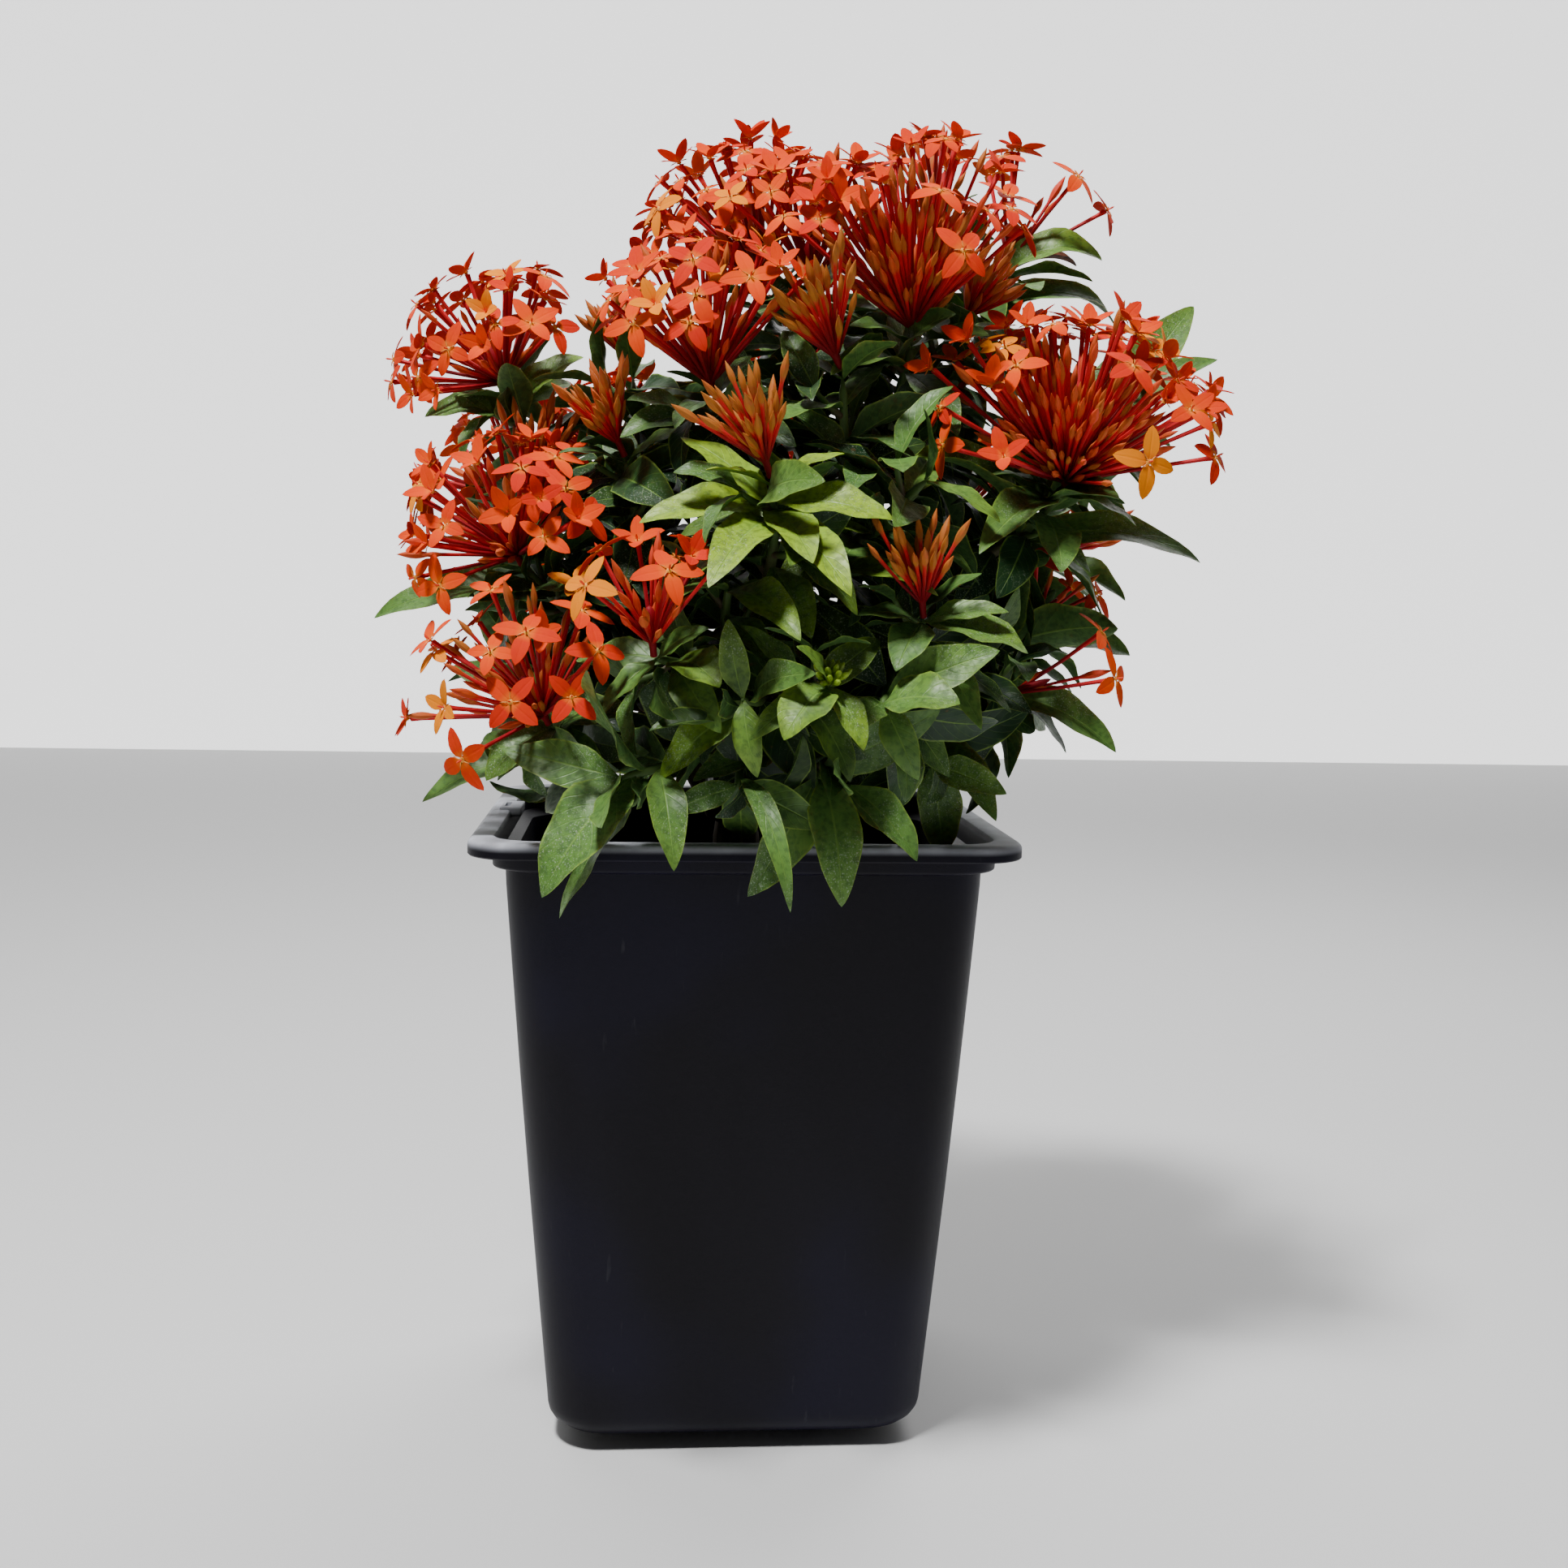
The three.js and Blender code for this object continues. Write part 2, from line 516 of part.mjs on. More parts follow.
// ---- flower heads ----
// The peduncle, and the swelling where the flower tubes of a head come together.
function coreSolid(stem) {
  const [reach] = stem.head;
  const at = (distance) => stem.tip.clone().addScaledVector(stem.lean, distance);
  const [low, wide] = [heart.low, heart.wide].map(([height]) => peduncle.length + height * reach);
  return stalk(
    [at(clearance), at(low), at(wide), at(peduncle.length + heart.top * reach)],
    [peduncle.radius, heart.low[1] * reach, heart.wide[1] * reach, 0],
    heart.sides,
    { first: stem.lean },
  );
}

// Flower tubes fan out over a cap of the stated spread: open florets on its outside, buds among them.
function floretsOf(stem, seed) {
  const [reach, spreadDegrees, open, buds] = stem.head;
  const draw = dice(seed);
  const count = open + buds;
  const sunk = floret.sunk * reach;
  const base = stem.tip.clone().addScaledVector(stem.lean, peduncle.length - sunk);
  const { side, up } = squareTo(stem.lean);
  const florets = [];
  const first = draw(0, 2 * Math.PI);
  for (let i = 0; i < count; i++) {
    const share = Math.sqrt((i + 0.5) / count);
    const polar = radians(spreadDegrees) * share * draw(0.92, 1.08);
    const azimuth = first + i * goldenAngle;
    const isOpen = Math.floor(((i + 1) * open) / count) > Math.floor((i * open) / count);
    const size = isOpen ? draw(0.86, 0.98) : draw(0.72, 1.08);
    const length = (reach - peduncle.length + sunk) * size;
    const spin = draw(0, Math.PI / 2);
    const out = side.clone().multiplyScalar(Math.cos(azimuth)).addScaledVector(up, -Math.sin(azimuth));
    const ahead = stem.lean.clone().multiplyScalar(Math.cos(polar)).addScaledVector(out, Math.sin(polar));
    florets.push({ start: base, ahead, length, isOpen, spin, hidden: floret.hidden * reach });
  }
  return florets;
}

// A closed flower: a slender three-sided tube that widens to a pointed bud.
function budSolid({ start, ahead, length, spin }) {
  const bud = new THREE.SphereGeometry(1, 3, 2);
  const { side, up } = squareTo(ahead);
  reshape(bud, (vertex) => {
    const row = Math.round(1 + vertex.y);
    const reach = [0, floret.bud, 0][row];
    const angle = Math.atan2(vertex.z, vertex.x) + spin;
    vertex.copy(start).addScaledVector(ahead, [0, length - floret.budWidest, length][row]);
    vertex.addScaledVector(side, reach * Math.cos(angle)).addScaledVector(up, reach * Math.sin(angle));
  });
  return solidFrom(bud);
}

// An open floret: four pointed petals round the mouth of a slender tube.
function openSolid({ start, ahead, length, spin }) {
  const { side, up } = squareTo(ahead);
  const { shoulder, petal, notch, curl, throat, dip, eye } = floret;
  const outline = [petal, shoulder.radius, notch, shoulder.radius];
  const sixteenth = Math.PI / 8;
  const swing = [0, shoulder.angle - sixteenth, 0, sixteenth - shoulder.angle];
  const star = new THREE.SphereGeometry(1, 16, 3);
  reshape(star, (vertex) => {
    const row = ringOf(vertex, 3);
    const step = (Math.round(Math.atan2(vertex.z, vertex.x) / sixteenth) + 16) % 16;
    const corner = (Math.floor((step + 2) / 4) + 0.5) * (Math.PI / 2);
    const angle = (row === 1 ? step * sixteenth + swing[step % 4] : corner) + spin;
    const reach = [0, outline[step % 4], throat, 0][row];
    const height = [length + eye, length - curl * (reach / petal) ** 2, length - dip, 0][row];
    vertex.copy(start).addScaledVector(ahead, height);
    vertex.addScaledVector(side, reach * Math.cos(angle)).addScaledVector(up, reach * Math.sin(angle));
  });
  return solidFrom(star);
}

// ---- the shrub, piece by piece, each kept clear of the pieces of other nodes ----
const placed = [];

function place(owner, solid, free = solid) {
  placed.push({ owner, solid, free, box: solid.boundingBox() });
  return solid;
}

// Adds a leaf or floret to its node if it keeps clear of all else: whole, from the pieces of other
// nodes, and from its own node's with the part that is hidden in its bearer left off.
function grow(owner, shape, one) {
  const solid = shape(one);
  const { start, ahead, length, hidden } = one;
  const outside = { start: start.clone().addScaledVector(ahead, hidden), length: length - hidden };
  const free = shape({ ...one, ...outside });
  const box = solid.boundingBox();
  const isClear = placed.every((other) => {
    const apart = [0, 1, 2].some(
      (k) => other.box.min[k] > box.max[k] + clearance || other.box.max[k] < box.min[k] - clearance,
    );
    if (apart) return true;
    const gap = other.owner === owner ? other.free.minGap(free, 1) : other.solid.minGap(solid, 1);
    return gap >= clearance;
  });
  return isClear ? place(owner, solid, free) : null;
}

const group = new THREE.Group();
const potMesh = makePot();
const soilMesh = makeSoil();
place("pot", solidFrom(potMesh.geometry));
place("soil", solidFrom(soilMesh.geometry));
const groups = shrub.map(layOutGroup);
const wood = place("wood", makeWood(groups));
group.add(potMesh, soilMesh, meshFrom(wood, "woody_stems", materials.wood));

for (const { name, stems } of groups)
  for (const stem of stems) {
    stem.solid = place(`leafy_stem_${name}`, stemSolid(stem));
    if (!stem.head) continue;
    stem.headName = `flower_head_${name}${stem.index ? `_${stem.index + 1}` : ""}`;
    stem.core = place(stem.headName, coreSolid(stem));
  }

groups.forEach(({ stems }, number) => {
  for (const stem of stems) {
    if (!stem.head) continue;
    let solid = stem.core;
    for (const one of floretsOf(stem, seeds.florets + seeds.perGroup * number + stem.index)) {
      const made = grow(stem.headName, one.isOpen ? openSolid : budSolid, one);
      if (made) solid = solid.add(made);
    }
    group.add(meshFrom(solid, stem.headName, materials.flower));
  }
});

groups.forEach(({ name, stems }, number) => {
  const owner = `leafy_stem_${name}`;
  let solid = stems.map((stem) => stem.solid).reduce((a, b) => a.add(b));
  for (const stem of stems)
    for (const ways of leavesOf(stem, seeds.leaves + seeds.perGroup * number + stem.index)) {
      let made = null;
      for (const way of ways) made ??= grow(owner, leafSolid, way);
      if (made) solid = solid.add(made);
    }
  group.add(meshFrom(solid, owner, materials.leaf));
});

const outline = new THREE.Box3().setFromObject(group);
const middle = outline.getCenter(vec(0, 0, 0));
group.position.set(-middle.x, -middle.y, 0);

export default group;
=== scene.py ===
# Ixora in a square nursery pot: the finished plant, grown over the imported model's stems and heads.
# The plant is laid out in millimetres round the pot's axis, and turned to metres as each piece is made.
import math

import bmesh
import bpy
import numpy as np
from mathutils import Matrix, Vector, noise
from mathutils.bvhtree import BVHTree
from mathutils.kdtree import KDTree


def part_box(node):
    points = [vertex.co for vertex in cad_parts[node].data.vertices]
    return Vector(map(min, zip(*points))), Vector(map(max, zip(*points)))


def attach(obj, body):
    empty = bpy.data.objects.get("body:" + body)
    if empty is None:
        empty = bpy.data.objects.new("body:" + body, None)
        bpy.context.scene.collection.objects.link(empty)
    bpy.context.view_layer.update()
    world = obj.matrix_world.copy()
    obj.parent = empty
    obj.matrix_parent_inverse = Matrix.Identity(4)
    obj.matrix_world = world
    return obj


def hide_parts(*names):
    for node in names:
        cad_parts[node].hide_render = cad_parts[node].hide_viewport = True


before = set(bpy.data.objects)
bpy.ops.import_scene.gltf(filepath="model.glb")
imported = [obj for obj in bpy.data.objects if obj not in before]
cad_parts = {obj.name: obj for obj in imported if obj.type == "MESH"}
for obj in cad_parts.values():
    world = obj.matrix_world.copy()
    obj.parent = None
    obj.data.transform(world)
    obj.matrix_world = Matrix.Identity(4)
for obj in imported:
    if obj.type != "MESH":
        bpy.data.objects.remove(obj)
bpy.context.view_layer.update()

body = "root"
potLow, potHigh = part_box("pot")
potAxis = Vector(((potLow.x + potHigh.x) / 2, (potLow.y + potHigh.y) / 2, 0))
goldenAngle = math.pi * (3 - math.sqrt(5))
bpy.ops.object.select_all(action="DESELECT")


def metres(points):
    return np.asarray(points) * 0.001 + np.array(potAxis)


# camera, lights and floor
view = {
    "place": (-41, -773, 354), "lens": 39.95, "sensor": 36, "nearest": 0.01,
    "down": 0.1046, "right": 0.0803, "roll": 0.0186,
}


def makeCamera():
    s, c = math.sin(view["right"]), math.cos(view["right"])
    sd, cd = math.sin(view["down"]), math.cos(view["down"])
    level, upright = Vector((c, -s, 0)), Vector((s * sd, c * sd, cd))
    ahead = Vector((s * cd, c * cd, -sd))
    sr, cr = math.sin(view["roll"]), math.cos(view["roll"])
    across = level * cr + upright * sr
    up = upright * cr - level * sr
    bpy.ops.object.camera_add()
    camera = bpy.context.object
    place = Vector(view["place"]) * 0.001 + potAxis
    camera.matrix_world = Matrix.Translation(place) @ Matrix((across, up, -ahead)).transposed().to_4x4()
    camera.data.lens = view["lens"]
    camera.data.sensor_width = view["sensor"]
    camera.data.clip_start = view["nearest"]
    bpy.context.scene.camera = camera


light = {
    "key": {"at": (-0.42, -0.66, 1.98), "size": 0.25, "watts": 60},
    "front": {"at": (0.75, -1.7, 0.75), "size": 1.6, "watts": 0.4},
    "back": {"at": (0.6, 1.0, 1.3), "size": 0.8, "watts": 8},
    "aim": (0, 0, 0.33), "sky": (1, 1, 1, 1), "skyStrength": 0.045,
}


def makeLight(name):
    lamp = light[name]
    bpy.ops.object.light_add(type="AREA", location=Vector(lamp["at"]) + potAxis)
    made = bpy.context.object
    made.name = name + "_light"
    made.data.size = lamp["size"]
    made.data.energy = lamp["watts"]
    aim = Vector(light["aim"]) + potAxis - made.location
    made.rotation_euler = aim.to_track_quat("-Z", "Y").to_euler()


stage = {
    "floor": {"size": 8, "location": (0, 0, -0.0006)},
    "backdrop": {"size": 9, "location": (0, 3.2, 2), "rotation": (math.pi / 2, 0, 0)},
    "grey": (0.7, 0.7, 0.7, 1), "white": (1, 1, 1, 1), "roughness": 0.9,
    "glow": {"floor": 0, "backdrop": 1.6},
}


def makeSheet(name):
    bpy.ops.mesh.primitive_plane_add(**stage[name])
    sheet = bpy.context.object
    sheet.name = name
    paper = bpy.data.materials.new(name + "_paper")
    paper.use_nodes = True
    shader = paper.node_tree.nodes["Principled BSDF"]
    shader.inputs["Base Color"].default_value = stage["grey"]
    shader.inputs["Roughness"].default_value = stage["roughness"]
    shader.inputs["Emission Color"].default_value = stage["white"]
    shader.inputs["Emission Strength"].default_value = stage["glow"][name]
    sheet.data.materials.append(paper)


def makeSky():
    world = bpy.data.worlds.new("studio")
    world.use_nodes = True
    sky = world.node_tree.nodes["Background"]
    sky.inputs["Color"].default_value = light["sky"]
    sky.inputs["Strength"].default_value = light["skyStrength"]
    bpy.context.scene.world = world


makeCamera()
makeSheet("floor")
makeSheet("backdrop")
makeSky()
for lampName in ("key", "front", "back"):
    makeLight(lampName)
print("camera, lights and floor are set")


# shader maths
class Wire:
    # a socket of a material's tree, with arithmetic on it
    def __init__(self, tree, socket=None):
        self.tree, self.socket = tree, socket

    def node(self, kind, settings=None, inputs=None, out=0):
        made = self.tree.nodes.new("ShaderNode" + kind)
        for key, value in (settings or {}).items():
            if key == "stops":
                ramp = made.color_ramp.elements
                while len(ramp) < len(value):
                    ramp.new(0.5)
                for stop, (at, colour) in zip(ramp, value):
                    stop.position, stop.color = at, (*colour, 1)
            else:
                setattr(made, key, value)
        for key, value in (inputs or {}).items():
            socket = made.inputs[key]
            if isinstance(value, Wire):
                self.tree.links.new(value.socket, socket)
            elif socket.type == "RGBA":
                socket.default_value = (*value, 1)
            else:
                socket.default_value = value
        return Wire(self.tree, made.outputs[out])

    def math(self, operation, *values):
        return self.node("Math", {"operation": operation}, dict(enumerate(values)))

    def alone(self, operation):
        return self.math(operation, self)

    def __add__(self, other):
        return self.math("ADD", self, other)

    def __sub__(self, other):
        return self.math("SUBTRACT", self, other)

    def __rsub__(self, other):
        return self.math("SUBTRACT", other, self)

    def __mul__(self, other):
        return self.math("MULTIPLY", self, other)

    def __pow__(self, other):
        return self.math("POWER", self, other)

    __radd__ = __add__
    __rmul__ = __mul__


def paint(mask, below, above):
    # the colour below, covered with the colour above where the mask is 1
    return mask.node("Mix", {"data_type": "RGBA"}, {0: mask, 6: below, 7: above}, out=2)


def step(value, low, high):
    # rises smoothly from 0 to 1 as value goes from low to high
    settings = {"interpolation_type": "SMOOTHSTEP"}
    if low < high:
        return value.node("MapRange", settings, {0: value, 1: low, 2: high, 3: 0.0, 4: 1.0})
    return value.node("MapRange", settings, {0: value, 1: high, 2: low, 3: 1.0, 4: 0.0})


def carried(tree, *names):
    # what each vertex carries under these names
    found = [tree.node("Attribute", {"attribute_name": name}, out=2) for name in names]
    return found if len(found) > 1 else found[0]


def grain(tree, scale, detail=2.0, stretch=(1, 1, 1)):
    place = tree.node("TexCoord", out=3)
    if stretch != (1, 1, 1):
        place = tree.node("Mapping", None, {0: place, 3: stretch})
    return tree.node("TexNoise", None, {"Vector": place, "Scale": scale, "Detail": detail})


def makeMaterial(name, finish, gloss=0.5, soft=0, roughness=0.5):
    # soft is how much light gets a little way in
    material = bpy.data.materials.new(name)
    material.use_nodes = True
    shader = material.node_tree.nodes["Principled BSDF"]
    shader.inputs["Specular IOR Level"].default_value = gloss
    shader.inputs["Roughness"].default_value = roughness
    if soft:
        shader.inputs["Subsurface Weight"].default_value = soft
        shader.inputs["Subsurface Scale"].default_value = 0.002
    tree = Wire(material.node_tree)
    for socket, value in finish(tree).items():
        material.node_tree.links.new(value.socket, shader.inputs[socket])
    return material


def bump(tree, height, strength, distance):
    return tree.node("Bump", None, {"Strength": strength, "Distance": distance, "Height": height})


# materials
leafPaint = {
    "old": (0.007, 0.030, 0.008), "mature": (0.092, 0.200, 0.038), "young": (0.260, 0.400, 0.016),
    "under": (0.040, 0.100, 0.020), "rib": (0.170, 0.300, 0.050), "edge": (0.200, 0.320, 0.040),
    "dust": (0.560, 0.620, 0.500), "spot": (0.090, 0.050, 0.015), "veins": 9, "slant": 2.1,
}


def leafFinish(tree):
    along, across, tone, youth, under = carried(tree, "along", "across", "tone", "youth", "under")
    cloud, speck = grain(tree, 55, 3.0), grain(tree, 1600, 4.0)
    # painted shade: leaves of low tone, deep and low in the crown, are painted in the dark old-leaf colour
    colour = paint(step(tone + cloud * 0.5, 0.35, 1.0), leafPaint["old"], leafPaint["mature"])
    fresh = youth * (0.55 + along * 0.45 + across * 0.3) + (cloud - 0.5) * 0.5
    colour = paint(step(fresh, 0.0, 1.0), colour, leafPaint["young"])
    # the underside's own colour, painted darker than the top as painted shade from the light above
    colour = paint(under * 0.75, colour, leafPaint["under"])
    ladder = (along * leafPaint["veins"] - across ** 1.25 * leafPaint["slant"]).alone("FRACT")
    vein = step((ladder - 0.5).alone("ABSOLUTE"), 0.40, 0.5)
    rib = step(across + along * 0.04, 0.09, 0.03)
    edge = step(across, 0.90, 0.97)
    colour = paint(vein * 0.12, colour, leafPaint["rib"])
    colour = paint(rib * 0.55, colour, leafPaint["rib"])
    colour = paint(edge * 0.7, colour, leafPaint["edge"])
    mottle = step(grain(tree, 420, 4.0), 0.42, 0.66)
    colour = paint(mottle * 0.42 * (1 - rib), colour, leafPaint["old"])
    dusty = step(grain(tree, 34, 1.0), 0.42, 0.62) * step(speck, 0.54, 0.72) * (1 - under)
    colour = paint(dusty * 0.4, colour, leafPaint["dust"])
    spotted = step(grain(tree, 210, 1.0), 0.72, 0.78) * step(tone, 0.5, 0.1)
    colour = paint(spotted * 0.7, colour, leafPaint["spot"])
    shine = 0.34 + mottle * 0.12 + cloud * 0.12 + under * 0.22 + dusty * 0.3
    height = rib * (under * 1.6 - 0.8) + vein * (under * 0.5 - 0.25) + grain(tree, 300, 3.0) * 0.6
    return {"Base Color": colour, "Roughness": shine, "Normal": bump(tree, height, 0.45, 0.0005)}


dryPaint = {"brown": (0.160, 0.052, 0.026), "dark": (0.045, 0.018, 0.012)}


def dryFinish(tree):
    crinkle = grain(tree, 260, 4.0)
    colour = paint(step(crinkle, 0.35, 0.65), dryPaint["dark"], dryPaint["brown"])
    return {"Base Color": colour, "Roughness": 0.6 + crinkle * 0.3,
            "Normal": bump(tree, crinkle, 0.8, 0.001)}


stemPaint = {"green": (0.065, 0.130, 0.022), "brown": (0.085, 0.060, 0.030)}


def stemFinish(tree):
    along = carried(tree, "along")
    cloud = grain(tree, 180, 3.0)
    colour = paint(step(along + cloud * 0.5, 0.35, 0.9), stemPaint["brown"], stemPaint["green"])
    return {"Base Color": colour, "Roughness": 0.55 + cloud * 0.2,
            "Normal": bump(tree, grain(tree, 900, 3.0), 0.3, 0.0004)}


barkPaint = {"dark": (0.030, 0.020, 0.012), "light": (0.150, 0.115, 0.075), "moss": (0.055, 0.065, 0.025)}


def barkFinish(tree):
    strips, cloud = grain(tree, 260, 4.0, (1, 1, 0.25)), grain(tree, 60, 2.0)
    colour = paint(step(strips, 0.35, 0.68), barkPaint["dark"], barkPaint["light"])
    colour = paint(step(cloud, 0.55, 0.75) * 0.6, colour, barkPaint["moss"])
    return {"Base Color": colour, "Roughness": 0.75 + strips * 0.2,
            "Normal": bump(tree, strips, 0.8, 0.0012)}


tubePaint = {
    "deep": (0.230, 0.004, 0.010), "throat": (0.580, 0.014, 0.018),
    "ripe": (0.640, 0.052, 0.018), "green": (0.430, 0.140, 0.022), "tip": (0.360, 0.130, 0.020),
}


def tubeFinish(tree):
    along, tone, youth = carried(tree, "along", "tone", "youth")
    streak = grain(tree, 600, 2.0)
    colour = paint(step(along + streak * 0.2, 0.45, 1.15), tubePaint["deep"], tubePaint["throat"])
    bud = paint(step(youth + tone * 0.3, 0.15, 0.95), tubePaint["ripe"], tubePaint["green"])
    bud = paint(step(along, 1.75, 2.0) * 0.4, bud, tubePaint["tip"])
    bud = paint(step(grain(tree, 260, 3.0), 0.5, 0.75) * 0.3, bud, tubePaint["throat"])
    colour = paint(step(along + streak * 0.1, 1.0, 1.3), colour, bud)
    return {"Base Color": colour, "Roughness": 0.5 + streak * 0.15}


petalPaint = {
    "red": (0.600, 0.022, 0.006), "coral": (0.800, 0.070, 0.001), "amber": (0.840, 0.230, 0.001),
    "back": (0.480, 0.026, 0.010), "throat": (0.800, 0.180, 0.010),
}


def petalFinish(tree):
    along, across, tone, youth, under = carried(tree, "along", "across", "tone", "youth", "under")
    streak = grain(tree, 420, 3.0)
    colour = paint(step(tone + streak * 0.4, 0.25, 1.05), petalPaint["red"], petalPaint["coral"])
    colour = paint(step(along + streak * 0.2, 0.35, 1.1) * 0.5, colour, petalPaint["red"])
    colour = paint(youth, colour, petalPaint["amber"])
    colour = paint(under * 0.6, colour, petalPaint["back"])
    # painted edge light: the petal edges are tinted amber
    colour = paint(step(across, 0.8, 1.0) * 0.3, colour, petalPaint["amber"])
    colour = paint(step(along, 0.3, 0.08) * 0.6, colour, petalPaint["throat"])
    groove = step(across, 0.2, 0.0) * 0.7 + streak * 0.3
    return {"Base Color": colour, "Roughness": 0.66 + streak * 0.2,
            "Normal": bump(tree, 1 - groove, 0.3, 0.0004)}


eyePaint = {"yellow": (0.780, 0.300, 0.020), "brown": (0.460, 0.130, 0.020)}


def eyeFinish(tree):
    along = carried(tree, "along")
    return {"Base Color": paint(step(along, 0.3, 0.9), eyePaint["yellow"], eyePaint["brown"])}


# dust is the flange top's light grey: partly dust, partly painted light where the light from above falls on
# the top
potPaint = {
    "black": (0.0038, 0.0032, 0.0066), "blue": (0.0052, 0.0046, 0.0145), "dust": (0.60, 0.62, 0.68),
    "scuff": (0.045, 0.047, 0.055),
}


def potFinish(tree):
    place = tree.node("TexCoord", out=3)
    height = tree.node("SeparateXYZ", None, {0: place}, out=2)
    cloud, fine = grain(tree, 9, 2.0), grain(tree, 2600, 2.0)
    colour = paint(step(cloud, 0.42, 0.62), potPaint["black"], potPaint["blue"])
    # painted light and dust: the flange top is painted light grey, as if lit from above
    flange = step(height, 0.2560, 0.2598) * (0.7 + step(grain(tree, 70, 3.0), 0.35, 0.75) * 0.3)
    colour = paint(flange * 0.92, colour, potPaint["dust"])
    scuff = step(grain(tree, 320, 4.0, (1, 1, 0.15)), 0.66, 0.78) * step(cloud, 0.45, 0.6)
    colour = paint(scuff * 0.35, colour, potPaint["scuff"])
    return {"Base Color": colour, "Roughness": 0.40 + fine * 0.14 + flange * 0.2,
            "Normal": bump(tree, fine + scuff * 0.4, 0.22, 0.0003)}


soilPaint = {
    "dark": (0.010, 0.006, 0.004), "light": (0.070, 0.042, 0.024), "perlite": (0.780, 0.760, 0.700),
}


def soilFinish(tree):
    crumbs, cloud = grain(tree, 520, 4.0), grain(tree, 90, 3.0)
    colour = paint(step(crumbs * 0.6 + cloud * 0.4, 0.38, 0.66), soilPaint["dark"], soilPaint["light"])
    colour = paint(carried(tree, "tone"), colour, soilPaint["perlite"])
    return {"Base Color": colour, "Roughness": 0.85 + cloud * 0.12,
            "Normal": bump(tree, crumbs, 0.9, 0.0012)}


materials = {
    "leaf": makeMaterial("leaf_blade", leafFinish, 0.27, 0.04),
    "dry": makeMaterial("dry_leaf", dryFinish, 0.3),
    "stem": makeMaterial("green_stem", stemFinish),
    "bark": makeMaterial("bark", barkFinish, 0.3),
    "tube": makeMaterial("flower_tube", tubeFinish, 0.16, 0.08),
    "petal": makeMaterial("petal", petalFinish, 0.08, 0.1),
    "eye": makeMaterial("floret_eye", eyeFinish, roughness=0.6),
    "pot": makeMaterial("pot_plastic", potFinish, 0.16),
    "soil": makeMaterial("potting_mix", soilFinish, 0.2),
}
print("materials are mixed")


# masters and the pieces made of their copies
def shapeOf(mesh):
    # points and faces; the faces are sorted, because Blender lists them in any order
    return np.array([v.co for v in mesh.vertices]), sorted(tuple(f.vertices) for f in mesh.polygons)


def takeShape():
    # points and faces of the object just made, which then goes
    made = bpy.context.object
    shape = shapeOf(made.data)
    bpy.data.objects.remove(made)
    return shape


def ringMaster(segments, rows):
    # a sphere with its poles at a leaf's or tube's two ends: row and place round it of each vertex
    bpy.ops.mesh.primitive_uv_sphere_add(segments=segments, ring_count=rows, radius=1)
    at, faces = takeShape()
    row = np.rint(np.arccos(np.clip(-at[:, 2], -1, 1)) / math.pi * rows).astype(int)
    radius = np.maximum(np.hypot(at[:, 0], at[:, 1]), 1e-9)
    cos, sin = at[:, 0] / radius, at[:, 1] / radius
    pole = (row == 0) | (row == rows)
    cos[pole] = sin[pole] = 0
    triangles = np.array([(f[0], f[k], f[k + 1]) for f in faces for k in range(1, len(f) - 1)])
    return {"row": row, "cos": cos, "sin": sin, "faces": faces, "triangles": triangles, "rows": rows,
            "edge": np.abs(cos), "under": (sin < -0.1).astype(float)}


masters = {
    "blade": ringMaster(8, 16),
    "petal": ringMaster(6, 6),
    "bud": ringMaster(7, 11),
    "tube": ringMaster(6, 5),
    "thread": ringMaster(4, 3),
    "smallBud": ringMaster(6, 6),
    "eye": ringMaster(6, 3),
    "stick": ringMaster(8, 10),
    "trunk": ringMaster(14, 10),
}


class Bunch:
    # copies of the masters that become one piece
    def __init__(self):
        self.points, self.faces, self.slots, self.used, self.count = [], [], [], [], 0
        self.marks = {"along": [], "across": [], "tone": [], "youth": [], "under": []}

    def add(self, master, points, material, along, across=0.0, tone=0.0, youth=0.0, under=0.0):
        corners = points[master["triangles"]] - points[0]
        volume = np.einsum("ij,ij->i", np.cross(corners[:, 0], corners[:, 1]), corners[:, 2]).sum()
        turn = -1 if volume < 0 else 1
        if material not in self.used:
            self.used.append(material)
        slot = self.used.index(material)
        start = self.count
        self.faces += [[start + k for k in face[::turn]] for face in master["faces"]]
        self.slots += [slot] * len(master["faces"])
        self.points.append(points)
        for values, value in zip(self.marks.values(), (along, across, tone, youth, under)):
            values.append(np.broadcast_to(np.asarray(value, float), len(points)))
        self.count += len(points)

    def piece(self, name, node, slot, angle=50):
        mesh = bpy.data.meshes.new(name)
        mesh.from_pydata(metres(np.concatenate(self.points)).tolist(), [], self.faces)
        mesh.polygons.foreach_set("material_index", self.slots)
        for key, values in self.marks.items():
            layer = mesh.attributes.new(key, "FLOAT", "POINT")
            layer.data.foreach_set("value", np.concatenate(values).astype(np.float32))
        made = bpy.data.objects.new(name, mesh)
        bpy.context.scene.collection.objects.link(made)
        for material in self.used:
            mesh.materials.append(materials[material])
        hand(made, node, angle)


def hand(piece, node, angle):
    # smooths a finished piece and gives it to the model; angle is where an edge stays sharp
    bpy.ops.object.select_all(action="DESELECT")
    bpy.context.view_layer.objects.active = piece
    piece.select_set(True)
    bpy.ops.object.shade_smooth_by_angle(angle=math.radians(angle))
    piece.select_set(False)
    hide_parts(node)
    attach(piece, body)


# how the shrub grows, in millimetres
limbEnds = {
    "left": (-46, -34, 322), "front": (4, -58, 318), "right": (62, -40, 338), "top": (30, -8, 372),
    "back_right": (62, 36, 345), "back": (0, 60, 330), "back_left": (-48, 30, 340),
}
